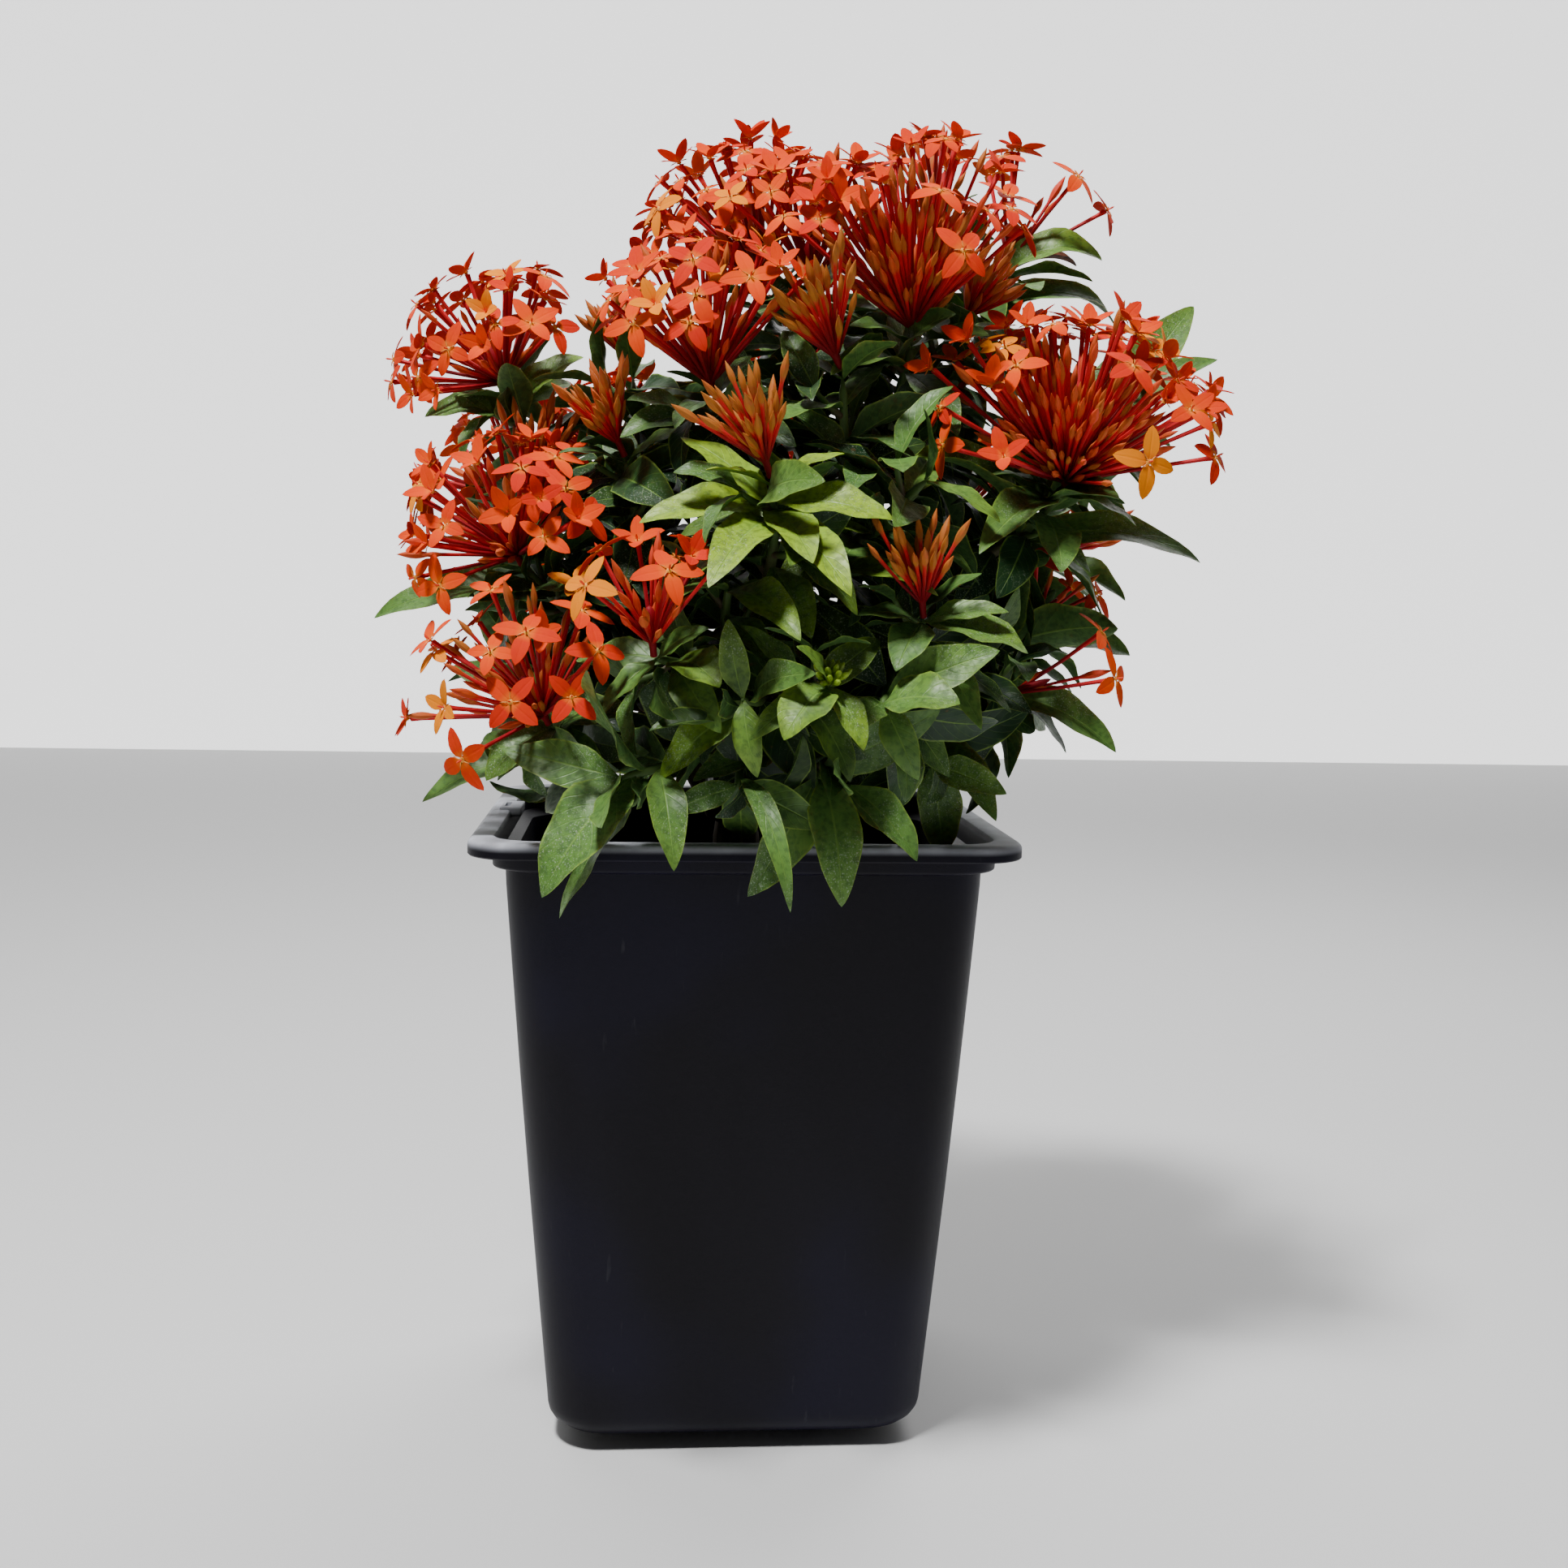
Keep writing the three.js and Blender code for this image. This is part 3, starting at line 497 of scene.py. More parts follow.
# Groups of stems from a common fork: name, limb, then for each stem its tip, lean, leaves (pairs,
# turn, length, droop) and, where it blooms, its head (reach, spread, open florets, buds).
shrub = [
    ("upper_left", "left", [
        ((-100, -5, 440), (-0.42, -0.3, 0.85), (3, 20, 40, 35), (56, 74, 7, 5))]),
    ("left_buds", "left", [
        ((-90, -24, 390), (0.05, 0, 1), (3, 60, 42, 40), (52, 36, 0, 9))]),
    ("left", "left", [
        ((-91, -57, 366), (-0.42, -0.5, 0.76), (4, 10, 42, 45), (57, 70, 7, 5))]),
    ("low_left", "left", [
        ((-78, -92, 304), (-0.42, -0.42, 0.8), (3, -30, 42, 50), (60, 68, 5, 8)),
        ((-74, -74, 292), (-0.7, -0.5, 0.5), (2, 40, 48, 55), None)]),
    ("low_centre", "front", [
        ((-38, -122, 332), (-0.1, -0.45, 0.88), (3, -10, 38, 50), (50, 50, 4, 5)),
        ((-10, -110, 360), (0.05, -0.55, 0.83), (3, 20, 42, 40), None)]),
    ("mid_left", "left", [
        ((-50, -62, 410), (-0.4, -0.4, 0.82), (3, 15, 42, 40), (44, 36, 0, 9)),
        ((-48, -12, 450), (-0.35, 0, 0.94), (2, 80, 40, 35), (42, 36, 0, 6))]),
    ("centre_left", "top", [
        ((-16, -70, 434), (-0.14, -0.38, 0.91), (3, 35, 42, 40), (64, 50, 7, 6))]),
    ("top_left", "top", [
        ((10, -8, 486), (-0.46, -0.18, 0.87), (3, 10, 42, 35), (66, 58, 7, 3)),
        ((26, -40, 480), (-0.06, -0.34, 0.94), (3, 80, 40, 35), (58, 46, 4, 3))]),
    ("top_centre", "top", [
        ((64, -68, 458), (-0.08, -0.26, 0.96), (3, 20, 46, 40), (66, 54, 6, 10)),
        ((86, -48, 466), (0.42, -0.25, 0.87), (3, 60, 44, 40), (44, 40, 0, 8))]),
    ("centre_buds", "front", [
        ((33, -96, 442), (-0.44, -0.3, 0.84), (4, -35, 42, 35), (54, 38, 0, 11)),
        ((66, -110, 402), (0.2, -0.5, 0.85), (3, 10, 44, 35), None)]),
    ("top_back", "top", [
        ((88, 24, 518), (-0.1, 0, 1), (3, 30, 42, 35), (50, 40, 2, 6))]),
    ("top_right", "back_right", [
        ((116, 10, 500), (0.35, -0.1, 0.94), (4, 0, 50, 50), (58, 44, 4, 2))]),
    ("right", "right", [
        ((127, -70, 400), (0.02, -0.4, 0.92), (5, 15, 46, 45), (74, 70, 8, 10)),
        ((160, -20, 432), (0.6, 0, 0.8), (3, 20, 44, 30), None)]),
    ("front_buds", "front", [
        ((4, -132, 398), (-0.34, -0.3, 0.89), (4, 25, 44, 32), (46, 38, 0, 10))]),
    ("low_right_buds", "right", [
        ((64, -115, 348), (-0.15, -0.35, 0.92), (4, 30, 44, 42), (46, 40, 0, 9)),
        ((47, -130, 316), (0, -0.7, 0.7), (3, -10, 44, 50), None)]),
    ("far_right", "right", [
        ((124, -25, 342), (0.6, -0.15, 0.77), (4, 0, 52, 45), (42, 50, 2, 3)),
        ((104, -66, 316), (0.8, -0.35, 0.35), (3, 20, 48, 50), (54, 22, 2, 1))]),
    ("young_front", "front", [
        ((26, -144, 324), (0, -0.55, 0.83), (4, 0, 38, 50), None),
        ((-6, -134, 318), (-0.2, -0.6, 0.77), (2, 35, 42, 55), None)]),
    ("low_front", "front", [
        ((-52, -128, 287), (-0.35, -0.9, 0.15), (2, 70, 66, 20), None),
        ((-6, -126, 284), (0, -0.9, 0.3), (2, 20, 46, 60), None),
        ((34, -128, 286), (0.1, -0.95, 0.2), (2, 75, 50, 15), None)]),
    ("low_right", "right", [
        ((72, -96, 290), (0.45, -0.7, 0.55), (2, 20, 46, 60), None),
        ((104, -40, 298), (0.8, -0.2, 0.5), (3, 30, 50, 60), None)]),
    ("back_left", "back_left", [
        ((-94, 46, 392), (-0.5, 0.45, 0.74), (3, 30, 46, 45), (57, 68, 4, 6))]),
    ("back_low_left", "back_left", [
        ((-72, 98, 322), (-0.35, 0.6, 0.7), (3, 14, 48, 50), (54, 60, 3, 6)),
        ((-96, 30, 312), (-0.8, 0.1, 0.6), (2, 35, 50, 55), None)]),
    ("back_centre", "back", [
        ((0, 110, 395), (0, 0.5, 0.86), (3, 40, 46, 45), (58, 66, 4, 7))]),
    ("back_top", "back", [
        ((38, 62, 456), (0.05, 0.45, 0.9), (3, 15, 44, 40), (56, 60, 4, 5))]),
    ("back_low", "back", [
        ((32, 130, 332), (0.1, 0.6, 0.78), (3, 50, 48, 50), (48, 40, 0, 9)),
        ((-8, 112, 286), (-0.1, 0.8, 0.5), (2, 16, 48, 70), None)]),
    ("back_right", "back_right", [
        ((108, 78, 392), (0.5, 0.45, 0.74), (3, 20, 48, 45), (58, 66, 4, 6)),
        ((98, 88, 312), (0.6, 0.6, 0.5), (3, 60, 50, 60), None)]),
    ("right_side", "back_right", [
        ((142, 22, 374), (0.7, 0.1, 0.7), (3, 45, 50, 45), (48, 40, 0, 9))]),
    ("back_upper_left", "back_left", [
        ((-56, 56, 412), (-0.3, 0.4, 0.87), (3, 70, 44, 40), (48, 50, 4, 5))]),
]
trunk = {
    "radius": 11, "head": 262, "bottom": 183.3, "over": 5, "sway": 0.7,
    "girths": (0, 0.8, 0.86, 0.92, 0.97, 1.02, 1.0, 0.97, 0.94, 0.8, 0),
}
limb = {"radii": (5, 4.7, 4.2), "rootShare": 0.6, "rootDrop": 8, "lift": 0.4}
twigs = {"radii": (2.8, 2.6), "spacing": 0.14, "lift": 0.25}
shoot = {
    "forkShare": 0.42, "gap": 0.15, "radii": (2.5, 1.5), "longer": 1.06, "rough": (2.4, 2.2, 1.8),
}
pairs = {
    "first": 3, "spacing": 11, "growth": 0.08, "lowest": 0.1, "most": 7, "sag": 0.35,
    "turn": (-0.28, 0.28), "lift": (-0.2, 0.2), "length": (0.88, 1.12), "width": (0.34, 0.41),
    "droop": (0.75, 1.25), "roll": (-0.5, 0.5), "fold": (0.12, 0.32),
}
topPair = {"rise": 48, "share": 0.74}
lowerPair = {"rise": 36, "step": 9}
seeds = {"florets": 7000, "leaves": 3000, "perGroup": 100, "sideShoots": 5000, "looks": 9000}


def dice(seed):
    state = seed

    def draw(low, high):
        nonlocal state
        state = state * 16807 % 2147483647
        return low + (high - low) * state / 2147483647
    return draw


def squareTo(ahead, hint=Vector((0, 1, 0))):
    side = hint.cross(ahead).normalized()
    return side, side.cross(ahead)


def bow(start, first, end, last):
    pull = 0.35 * (start - end).length
    return start, start + first * pull, end - last * pull, end


def pointOn(curve, t):
    a, b, c, d = curve
    u = 1 - t
    return a * u ** 3 + b * (3 * u * u * t) + c * (3 * u * t * t) + d * t ** 3


def layOutLimb(limbEnd):
    end = Vector(limbEnd)
    start = Vector((end.x, end.y, 0)).normalized() * limb["rootShare"] * trunk["radius"]
    start.z = trunk["head"] - limb["rootDrop"]
    out = (end - start).normalized()
    curve = bow(start, Vector((out.x, out.y, out.z + limb["lift"])).normalized(), end, out)
    return [start, pointOn(curve, 0.5), end]


def layOutGroup(number):
    name, limbName, stems = shrub[number]
    tips = [Vector(stem[0]) for stem in stems]
    middle = sum(tips, Vector()) / len(tips)
    limbEnd = Vector(limbEnds[limbName])
    fork = limbEnd.lerp(middle, shoot["forkShare"])
    ahead = ((middle - limbEnd).normalized() + Vector((0, 0, twigs["lift"]))).normalized()
    place = 1 - twigs["spacing"] * sum(other[1] == limbName for other in shrub[:number])
    _, elbow, end = layOutLimb(limbEnd)
    group = {"name": name, "twig": (elbow.lerp(end, place), fork - ahead * shoot["gap"]), "stems": []}
    for index, (tip, lean, leaves, head) in enumerate(stems):
        tip, lean = Vector(tip), Vector(lean).normalized()
        curve = bow(fork + ahead * shoot["gap"], ahead, tip, lean)
        suffix = f"_{index + 1}" if index else ""
        group["stems"].append({
            "name": name + suffix, "tip": tip, "lean": lean, "curve": curve, "leaves": leaves,
            "head": head, "length": shoot["longer"] * (fork - tip).length,
            "leafSeed": seeds["leaves"] + seeds["perGroup"] * number + index,
            "floretSeed": seeds["florets"] + seeds["perGroup"] * number + index,
            "sideSeed": seeds["sideShoots"] + seeds["perGroup"] * number + index,
        })
    return group


def placeOn(stem, t):
    row = min(int(t * 2), 1)
    lower, upper = pointOn(stem["curve"], row / 2), pointOn(stem["curve"], (row + 1) / 2)
    return lower.lerp(upper, t * 2 - row), (upper - lower).normalized()


# Ways a leaf may bend clear of its neighbours, tried in turn: lift, turn and share of its length.
bends = [
    (lift, turn, share) for share in (1, 0.8, 0.62) for lift, turn in (
        (0, 0), (0.22, 0), (-0.22, 0), (0, 0.3), (0, -0.3), (0.4, 0.25), (0.4, -0.25),
        (-0.4, 0.25), (-0.4, -0.25), (0.65, 0), (-0.65, 0), (0.2, 0.6), (0.2, -0.6))
]


def leavesOf(stem, seed):
    # each leaf of a stem from the top pair down, as the list of ways it may bend
    count, turnDegrees, size, droopDegrees = stem["leaves"]
    draw = dice(seed)
    leaves = []
    for pair in range(pairs["most"]):
        t = 1 - (pairs["first"] + pairs["spacing"] * pair * (1 + pairs["growth"] * pair)) / stem["length"]
        if t < pairs["lowest"]:
            break
        root, axis = placeOn(stem, t)
        side, up = squareTo(axis)
        sag = -axis.lerp(Vector((0, 0, 1)), pairs["sag"])
        rise = topPair["rise"] if pair == 0 else lowerPair["rise"] - lowerPair["step"] * min(pair, 4)
        for opposite in (0, math.pi):
            azimuth = math.radians(turnDegrees) + pair * math.pi / 2 + opposite + draw(*pairs["turn"])
            height = math.radians(rise) + draw(*pairs["lift"])
            length = size * (topPair["share"] if pair == 0 else 1) * draw(*pairs["length"])
            width = length * draw(*pairs["width"])
            droop = math.radians(droopDegrees) * draw(*pairs["droop"])
            roll, fold = draw(*pairs["roll"]), draw(*pairs["fold"])
            ways = []
            for lift, turn, share in bends:
                out = side * math.cos(azimuth + turn) - up * math.sin(azimuth + turn)
                ahead = out * math.cos(height + lift) + axis * math.sin(height + lift)
                down = (sag - ahead * sag.dot(ahead)).normalized()
                ways.append({
                    "start": root, "ahead": ahead, "down": down, "length": length * share,
                    "width": width * (0.4 + 0.6 * share), "droop": droop, "roll": roll, "fold": fold,
                })
            leaves.append({"pair": pair, "stock": pair < count, "ways": ways})
    return leaves


def leafTip(leaf):
    reach, droop = leaf["length"] / leaf["droop"], leaf["droop"]
    outward = leaf["ahead"] * reach * math.sin(droop)
    return leaf["start"] + outward + leaf["down"] * reach * (1 - math.cos(droop))


fan = {
    "base": 9, "sunk": 0.06, "polar": (0.92, 1.08), "openLength": (0.86, 0.98), "budLength": (0.72, 1.08),
}


def floretsOf(stem, seed, openCount, budCount, looseness=1.0):
    # the flower tubes of a head, fanned over a cap: open florets outside, buds among them
    reach, spread = stem["head"][:2]
    draw = dice(seed)
    count = openCount + budCount
    sunk = fan["sunk"] * reach
    base = stem["tip"] + stem["lean"] * (fan["base"] - sunk)
    side, up = squareTo(stem["lean"])
    first = draw(0, 2 * math.pi)
    florets = []
    for i in range(count):
        share = math.sqrt((i + 0.5) / count)
        polar = math.radians(spread) * share * draw(*fan["polar"]) * looseness
        azimuth = first + i * goldenAngle
        isOpen = (i + 1) * openCount // count > i * openCount // count
        length = (reach - fan["base"] + sunk) * draw(*fan["openLength" if isOpen else "budLength"])
        spin = draw(0, math.pi / 2)
        out = side * math.cos(azimuth) - up * math.sin(azimuth)
        ahead = stem["lean"] * math.cos(polar) + out * math.sin(polar)
        florets.append({"start": base, "ahead": ahead, "face": ahead, "length": length,
                        "isOpen": isOpen, "spin": spin})
    return florets


# leaf, floret and bud shapes, over the masters
blade = {
    "rows": np.array([0, 0.03, 0.07, 0.12, 0.18, 0.25, 0.33, 0.41, 0.49, 0.57, 0.65, 0.73, 0.80, 0.87,
                      0.93, 0.975, 1]),
    "half": 0.26, "petiole": 0.8, "petioleEnd": 0.12, "rib": 0.45, "wave": 0.06,
}


def leafSurface(leaf, s, cos, sin):
    # points of a leaf at s from root to tip, cos from edge to edge, sin above (+) or below (-)
    start, ahead, down = (np.array(leaf[k]) for k in ("start", "ahead", "down"))
    flat = np.cross(down, ahead)
    flat /= np.linalg.norm(flat)
    droop, length = leaf["droop"], leaf["length"]
    bend, turn = (droop * s)[:, None], (leaf["roll"] * s)[:, None]
    centre = start + (ahead * np.sin(bend) + down * (1 - np.cos(bend))) * length / droop
    up = ahead * np.sin(bend) - down * np.cos(bend)
    side = flat * np.cos(turn) + up * np.sin(turn)
    normal = up * np.cos(turn) - flat * np.sin(turn)
    stalk = np.clip(1 - s / blade["petioleEnd"], 0, 1)
    broad = np.maximum(0, np.sin(np.pi * s ** 0.85)) ** 0.8 * np.minimum(1, s / 0.3) ** 0.45
    reach = leaf["width"] / 2 * broad
    reach = np.maximum(reach, blade["petiole"] * (s < 0.2))
    edge = np.abs(cos)
    rise = leaf["fold"] * reach * edge ** 1.4
    rise += leaf["width"] * blade["wave"] * np.sin(leaf.get("phase", 0) + 15 * s) * edge ** 2 * broad
    thick = np.maximum(blade["half"], blade["petiole"] * stalk)
    rib = -blade["rib"] * (sin < -0.9) * (1 - s) * (1 - stalk)
    return centre + side * (cos * reach)[:, None] + normal * (rise + sin * thick + rib)[:, None]


def addLeaf(bunch, leaf, tone, youth, material="leaf"):
    master = masters["blade"]
    s = blade["rows"][master["row"]]
    points = leafSurface(leaf, s, master["cos"], master["sin"])
    bunch.add(master, points, material, s, master["edge"], tone, youth, master["under"])


def frameOf(ahead):
    side, up = squareTo(ahead)
    return np.array(side), np.array(up), np.array(ahead)


def addSweep(bunch, master, points, radii, material, along, **marks):
    # a round stem through the points, with a radius at each; its two ends are closed in a pole
    line = np.array([[*p] for p in points], float)
    radii = np.array(radii, float)
    ahead = np.gradient(line, axis=0)
    ahead /= np.linalg.norm(ahead, axis=1)[:, None]
    side = np.cross([0.0, 1.0, 0.0], ahead[0])
    sides = []
    for direction in ahead:
        side = side - direction * side.dot(direction)
        side = side / np.linalg.norm(side)
        sides.append(side)
    sides = np.array(sides)
    ups = np.cross(sides, ahead)
    row = master["row"]
    ring = sides[row] * master["cos"][:, None] + ups[row] * master["sin"][:, None]
    at = line[row] + ring * radii[row][:, None]
    bunch.add(master, at, material, np.asarray(along)[row], **marks)


def bowedLine(one, shares, draw):
    # points at these shares of a flower tube, which bows a little
    side, up, ahead = frameOf(one["ahead"])
    bowed = (side * draw(-1, 1) + up * draw(-1, 1)) * floret["bow"]
    start, whole = np.array(one["start"]), ahead * one["length"]
    return [start + whole * k + bowed * math.sin(math.pi * k) for k in shares]


floret = {
    "petal": 13.5, "shoulder": 4.2, "curl": 2.6, "petalHalf": 0.2, "inner": 0.7, "bow": 0.8,
    "petalRows": np.array([0, 0.13, 0.32, 0.52, 0.72, 0.89, 1]),
    # where a round part is along its tube or above its mouth, and how thick it is there
    "tube": ((0, 0), (0.08, 0.85), (0.55, 0.85), (0.9, 1.0), (0.985, 1.3), (1, 0)),
    "style": ((-0.5, 0), (0.5, 0.3), (2.6, 0.42), (3.6, 0)),
    "eye": ((-0.6, 0), (0, 1.2), (0.45, 0.8), (0.6, 0)),
    # the same for a stamen, which first has how far out it is
    "stamen": ((0.5, 0.2, 0), (1.4, 0.6, 0.18), (3.0, 0.5, 0.24), (4.0, 0.2, 0)),
    # how far petals of one floret differ
    "swing": (-0.09, 0.09), "curls": (0.5, 1.6), "sizes": (0.9, 1.02), "lifts": (-0.12, 0.12),
    "tones": (-0.2, 0.2),
}


def petalAxes(one, angle, lift):
    # along a petal, across it and above it; lift raises it from flat open towards the bud
    side, up, ahead = frameOf(one["face"])
    out = side * math.cos(angle) + up * math.sin(angle)
    over = up * math.cos(angle) - side * math.sin(angle)
    cos, sin = math.cos(lift), math.sin(lift)
    return out * cos + ahead * sin, over, ahead * cos - out * sin


def petalPoints(one, angle, curl, size, lift):
    master, inner = masters["petal"], floret["inner"]
    along, over, above = petalAxes(one, angle, lift)
    s = floret["petalRows"][master["row"]]
    reach = inner + (floret["petal"] * size - inner) * s
    half = floret["shoulder"] * size * np.maximum(0, np.sin(np.pi * s ** 0.92)) ** 0.62
    half = np.maximum(half * (1 - 0.15 * s), 1.1 * (s < 0.2))
    height = 0.2 - curl * (reach / floret["petal"]) ** 2
    height += 0.12 * half * master["cos"] ** 2 + master["sin"] * floret["petalHalf"]
    mouth = np.array(one["start"]) + np.array(one["ahead"]) * one["length"]
    points = mouth + above * height[:, None] + along * reach[:, None]
    return points + over * (half * master["cos"])[:, None], s


def addOpenFloret(bunch, one, draw):
    tone = draw(0, 1)
    amber = 1.0 if draw(0, 1) < one["amber"] else 0.0
    lift, size = one.get("lift", 0.0), one.get("size", 1.0)
    shares, radii = zip(*floret["tube"])
    addSweep(bunch, masters["tube"], bowedLine(one, shares, draw), radii, "tube", shares, tone=tone)
    master = masters["petal"]
    for k in range(4):
        angle = one["spin"] + k * math.pi / 2 + draw(*floret["swing"])
        curl = floret["curl"] * draw(*floret["curls"])
        broad = size * draw(*floret["sizes"])
        points, s = petalPoints(one, angle, curl, broad, lift + draw(*floret["lifts"]))
        own = tone + draw(*floret["tones"])
        bunch.add(master, points, "petal", s, master["edge"], own, amber, master["under"])
    side, up, ahead = frameOf(one["face"])
    mouth = np.array(one["start"]) + np.array(one["ahead"]) * one["length"] + ahead * 0.3
    for k in range(4):
        angle = one["spin"] + (k + 0.5) * math.pi / 2
        out = side * math.cos(angle) + up * math.sin(angle)
        line = [mouth + out * away + ahead * high for away, high, _ in floret["stamen"]]
        girths = [girth for _, _, girth in floret["stamen"]]
        addSweep(bunch, masters["thread"], line, girths, "eye", (0, 0.3, 0.8, 1))
    for part, master, material, along, youth in (
            ("style", "thread", "tube", (1, 1, 1.4, 1.5), 0.2), ("eye", "eye", "eye", (0, 0, 0, 0), 0)):
        heights, girths = zip(*floret[part])
        line = [mouth + ahead * high for high in heights]
        addSweep(bunch, masters[master], line, girths, material, along, youth=youth)


bud = {
    "long": 13, "size": (0.86, 1.06), "youths": (-0.2, 0.2), "tube": (0, 0.65, 0.65, 0.75),
    # how far back from the tip each ring is, and the radii from the tube's end on
    "back": (13.5, 11.3, 9.6, 7.6, 5.6, 3.6, 1.9, 0.7, 0),
    "girth": (1.15, 1.55, 1.75, 1.6, 1.15, 0.65, 0.28, 0),
}


def addBud(bunch, one, draw):
    tone, size = draw(0, 1), draw(*bud["size"]) * one.get("size", 1.0)
    length, neck = one["length"], one["length"] - bud["long"]
    distances = [0, 0.08 * length, 0.6 * neck] + [length - size * back for back in bud["back"]]
    line = bowedLine(one, [d / length for d in distances], draw)
    radii = [*bud["tube"], *(girth * size for girth in bud["girth"])]
    along = [min(1, d / neck) for d in distances[:4]] + [1 + k / 8 for k in range(1, 9)]
    youth = one["youth"] + draw(*bud["youths"])
    addSweep(bunch, masters["bud"], line, radii, "tube", along, tone=tone, youth=youth)


# what is already in the way of a new leaf or floret
class Thicket:
    def __init__(self, most):
        self.lows, self.highs = np.full((most, 3), 1e9), np.full((most, 3), -1e9)
        self.trees = []

    def put(self, points, faces):
        number = len(self.trees)
        self.lows[number], self.highs[number] = points.min(0), points.max(0)
        self.trees.append(BVHTree.FromPolygons(points.tolist(), faces))

    def isClear(self, points, faces):
        low, high = points.min(0), points.max(0)
        count = len(self.trees)
        near = np.all((self.lows[:count] <= high) & (self.highs[:count] >= low), axis=1)
        if not near.any():
            return True
        tree = BVHTree.FromPolygons(points.tolist(), faces)
        return not any(tree.overlap(self.trees[k]) for k in np.nonzero(near)[0])


thicket = Thicket(6000)
outlineRows = np.array([0.16, 0.4, 0.64, 0.86])
outlineAt = np.array([(s, c) for s in outlineRows for c in (-1, 0, 1)] + [(1, 0)])
outlineFaces = [(3 * r + k, 3 * r + k + 1, 3 * r + k + 4, 3 * r + k + 3) for r in range(3) for k in (0, 1)]
outlineFaces += [(9, 10, 12), (10, 11, 12)]


def leafOutline(leaf):
    return leafSurface(leaf, outlineAt[:, 0], outlineAt[:, 1], np.zeros(len(outlineAt))), outlineFaces


def prism(points, radii):
    # three-sided stand-in for a stem or tube
    line = np.array([[*p] for p in points], float)
    side, up, _ = frameOf(Vector(line[-1] - line[0]).normalized())
    ring = [side * math.cos(a) + up * math.sin(a) for a in (0, 2.1, 4.2)]
    at = np.array([p + r * radius for p, radius in zip(line, radii) for r in ring])
    faces = []
    for row in range(len(line) - 1):
        for k in range(3):
            a, b = 3 * row + k, 3 * row + (k + 1) % 3
            faces.append((a, b, b + 3, a + 3))
    return at, faces


rough = {
    "from": 0.42, "back": (11, 5, 0), "bud": (0.6, 0.8, 1.5, 0.2), "tube": (0.7, 0.8),
    "petal": ((1, 0), (7.4, -3.1), (12.8, 0), (7.4, 3.1)),  # a petal's corners: reach and swing
}


def floretOutline(one):
    start, ahead, length = np.array(one["start"]), np.array(one["ahead"]), one["length"]
    low = rough["from"] * length
    if not one["isOpen"]:
        line = [start + ahead * d for d in (low, *(length - back for back in rough["back"]))]
        return prism(line, rough["bud"])
    at, faces = prism([start + ahead * d for d in (low, length - 1)], rough["tube"])
    mouth, points = start + ahead * length, list(at)
    lift, size = one.get("lift", 0.0), one.get("size", 1.0)
    for k in range(4):
        first = len(points)
        along, over, above = petalAxes(one, one["spin"] + k * math.pi / 2, lift)
        for reach, swing in rough["petal"]:
            drop = above * (reach / floret["petal"]) ** 2 * floret["curl"]
            points.append(mouth + along * size * reach + over * size * swing - drop)
        faces.append((first, first + 1, first + 2, first + 3))
    return np.array(points), faces


def nodeTree(node):
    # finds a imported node's vertices by place, in millimetres round the pot's axis
    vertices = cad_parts[node].data.vertices
    tree = KDTree(len(vertices))
    for k, vertex in enumerate(vertices):
        tree.insert((vertex.co - potAxis) * 1000, k)
    tree.balance()
    return tree


def isStock(tree, tip, tolerance=0.1):
    return tree.find(tip)[2] < tolerance


# stems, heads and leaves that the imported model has
groups = [layOutGroup(number) for number in range(len(shrub))]
youthOf = {
    "front_buds": 0.8, "young_front": 0.42, "low_centre": 0.15, "centre_buds": 0.2, "low_left": 0.1,
    "low_right_buds": 0.12, "right": 0.06, "low_front": 0.02,
}
headLook = {
    "upper_left": (23, 16, 0.3), "left_buds": (0, 26, 0.55), "left": (23, 26, 0.35),
    "low_left": (12, 32, 0.45), "low_centre": (3, 14, 0.25), "mid_left": (0, 28, 0.7),
    "mid_left_2": (0, 18, 0.7), "centre_left": (22, 22, 0.35), "top_left": (28, 14, 0.25),
    "top_left_2": (14, 6, 0.25), "top_centre": (16, 60, 0.45), "top_centre_2": (0, 30, 0.5),
    "centre_buds": (0, 40, 0.85), "top_back": (1, 20, 0.3), "top_right": (4, 3, 0.2),
    "right": (34, 74, 0.45), "front_buds": (0, 36, 0.95), "low_right_buds": (0, 28, 0.75),
    "far_right": (1, 3, 0.3), "far_right_2": (1, 2, 0.2), "back_low": (0, 16, 0.6),
    "right_side": (0, 16, 0.5),
}
headDefault = (16, 16, 0.4)
for node in ("pot", "potting_mix", "woody_stems"):
    at, faces = shapeOf(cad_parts[node].data)
    thicket.put((at - np.array(potAxis)) * 1000, faces)

heads, leaves, shoots = [], [], []
for group in groups:
    leafTree = nodeTree("leafy_stem_" + group["name"])
    for stem in group["stems"]:
        shoots.append({"group": group["name"], "stem": stem, "radii": shoot["radii"]})
        line = [pointOn(stem["curve"], t) for t in (0, 0.5, 1)]
        thicket.put(*prism(line, shoot["rough"]))
        stem["spare"] = []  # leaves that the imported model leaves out
        for leaf in leavesOf(stem, stem["leafSeed"]):
            found = next((way for way in leaf["ways"] if isStock(leafTree, leafTip(way))), None)
            if leaf["stock"] and found:
                youth = youthOf.get(group["name"], 0.05) * (1 - 0.2 * leaf["pair"])
                leaves.append({**found, "group": group["name"], "youth": youth})
            else:
                stem["spare"].append(leaf)
        if stem["head"]:
            tree = nodeTree("flower_head_" + stem["name"])
            kept = []
            for one in floretsOf(stem, stem["floretSeed"], *stem["head"][2:]):
                if isStock(tree, one["start"] + one["ahead"] * (one["length"] + 0.6 * one["isOpen"])):
                    kept.append(one)
            heads.append({"name": stem["name"], "stem": stem, "florets": kept})
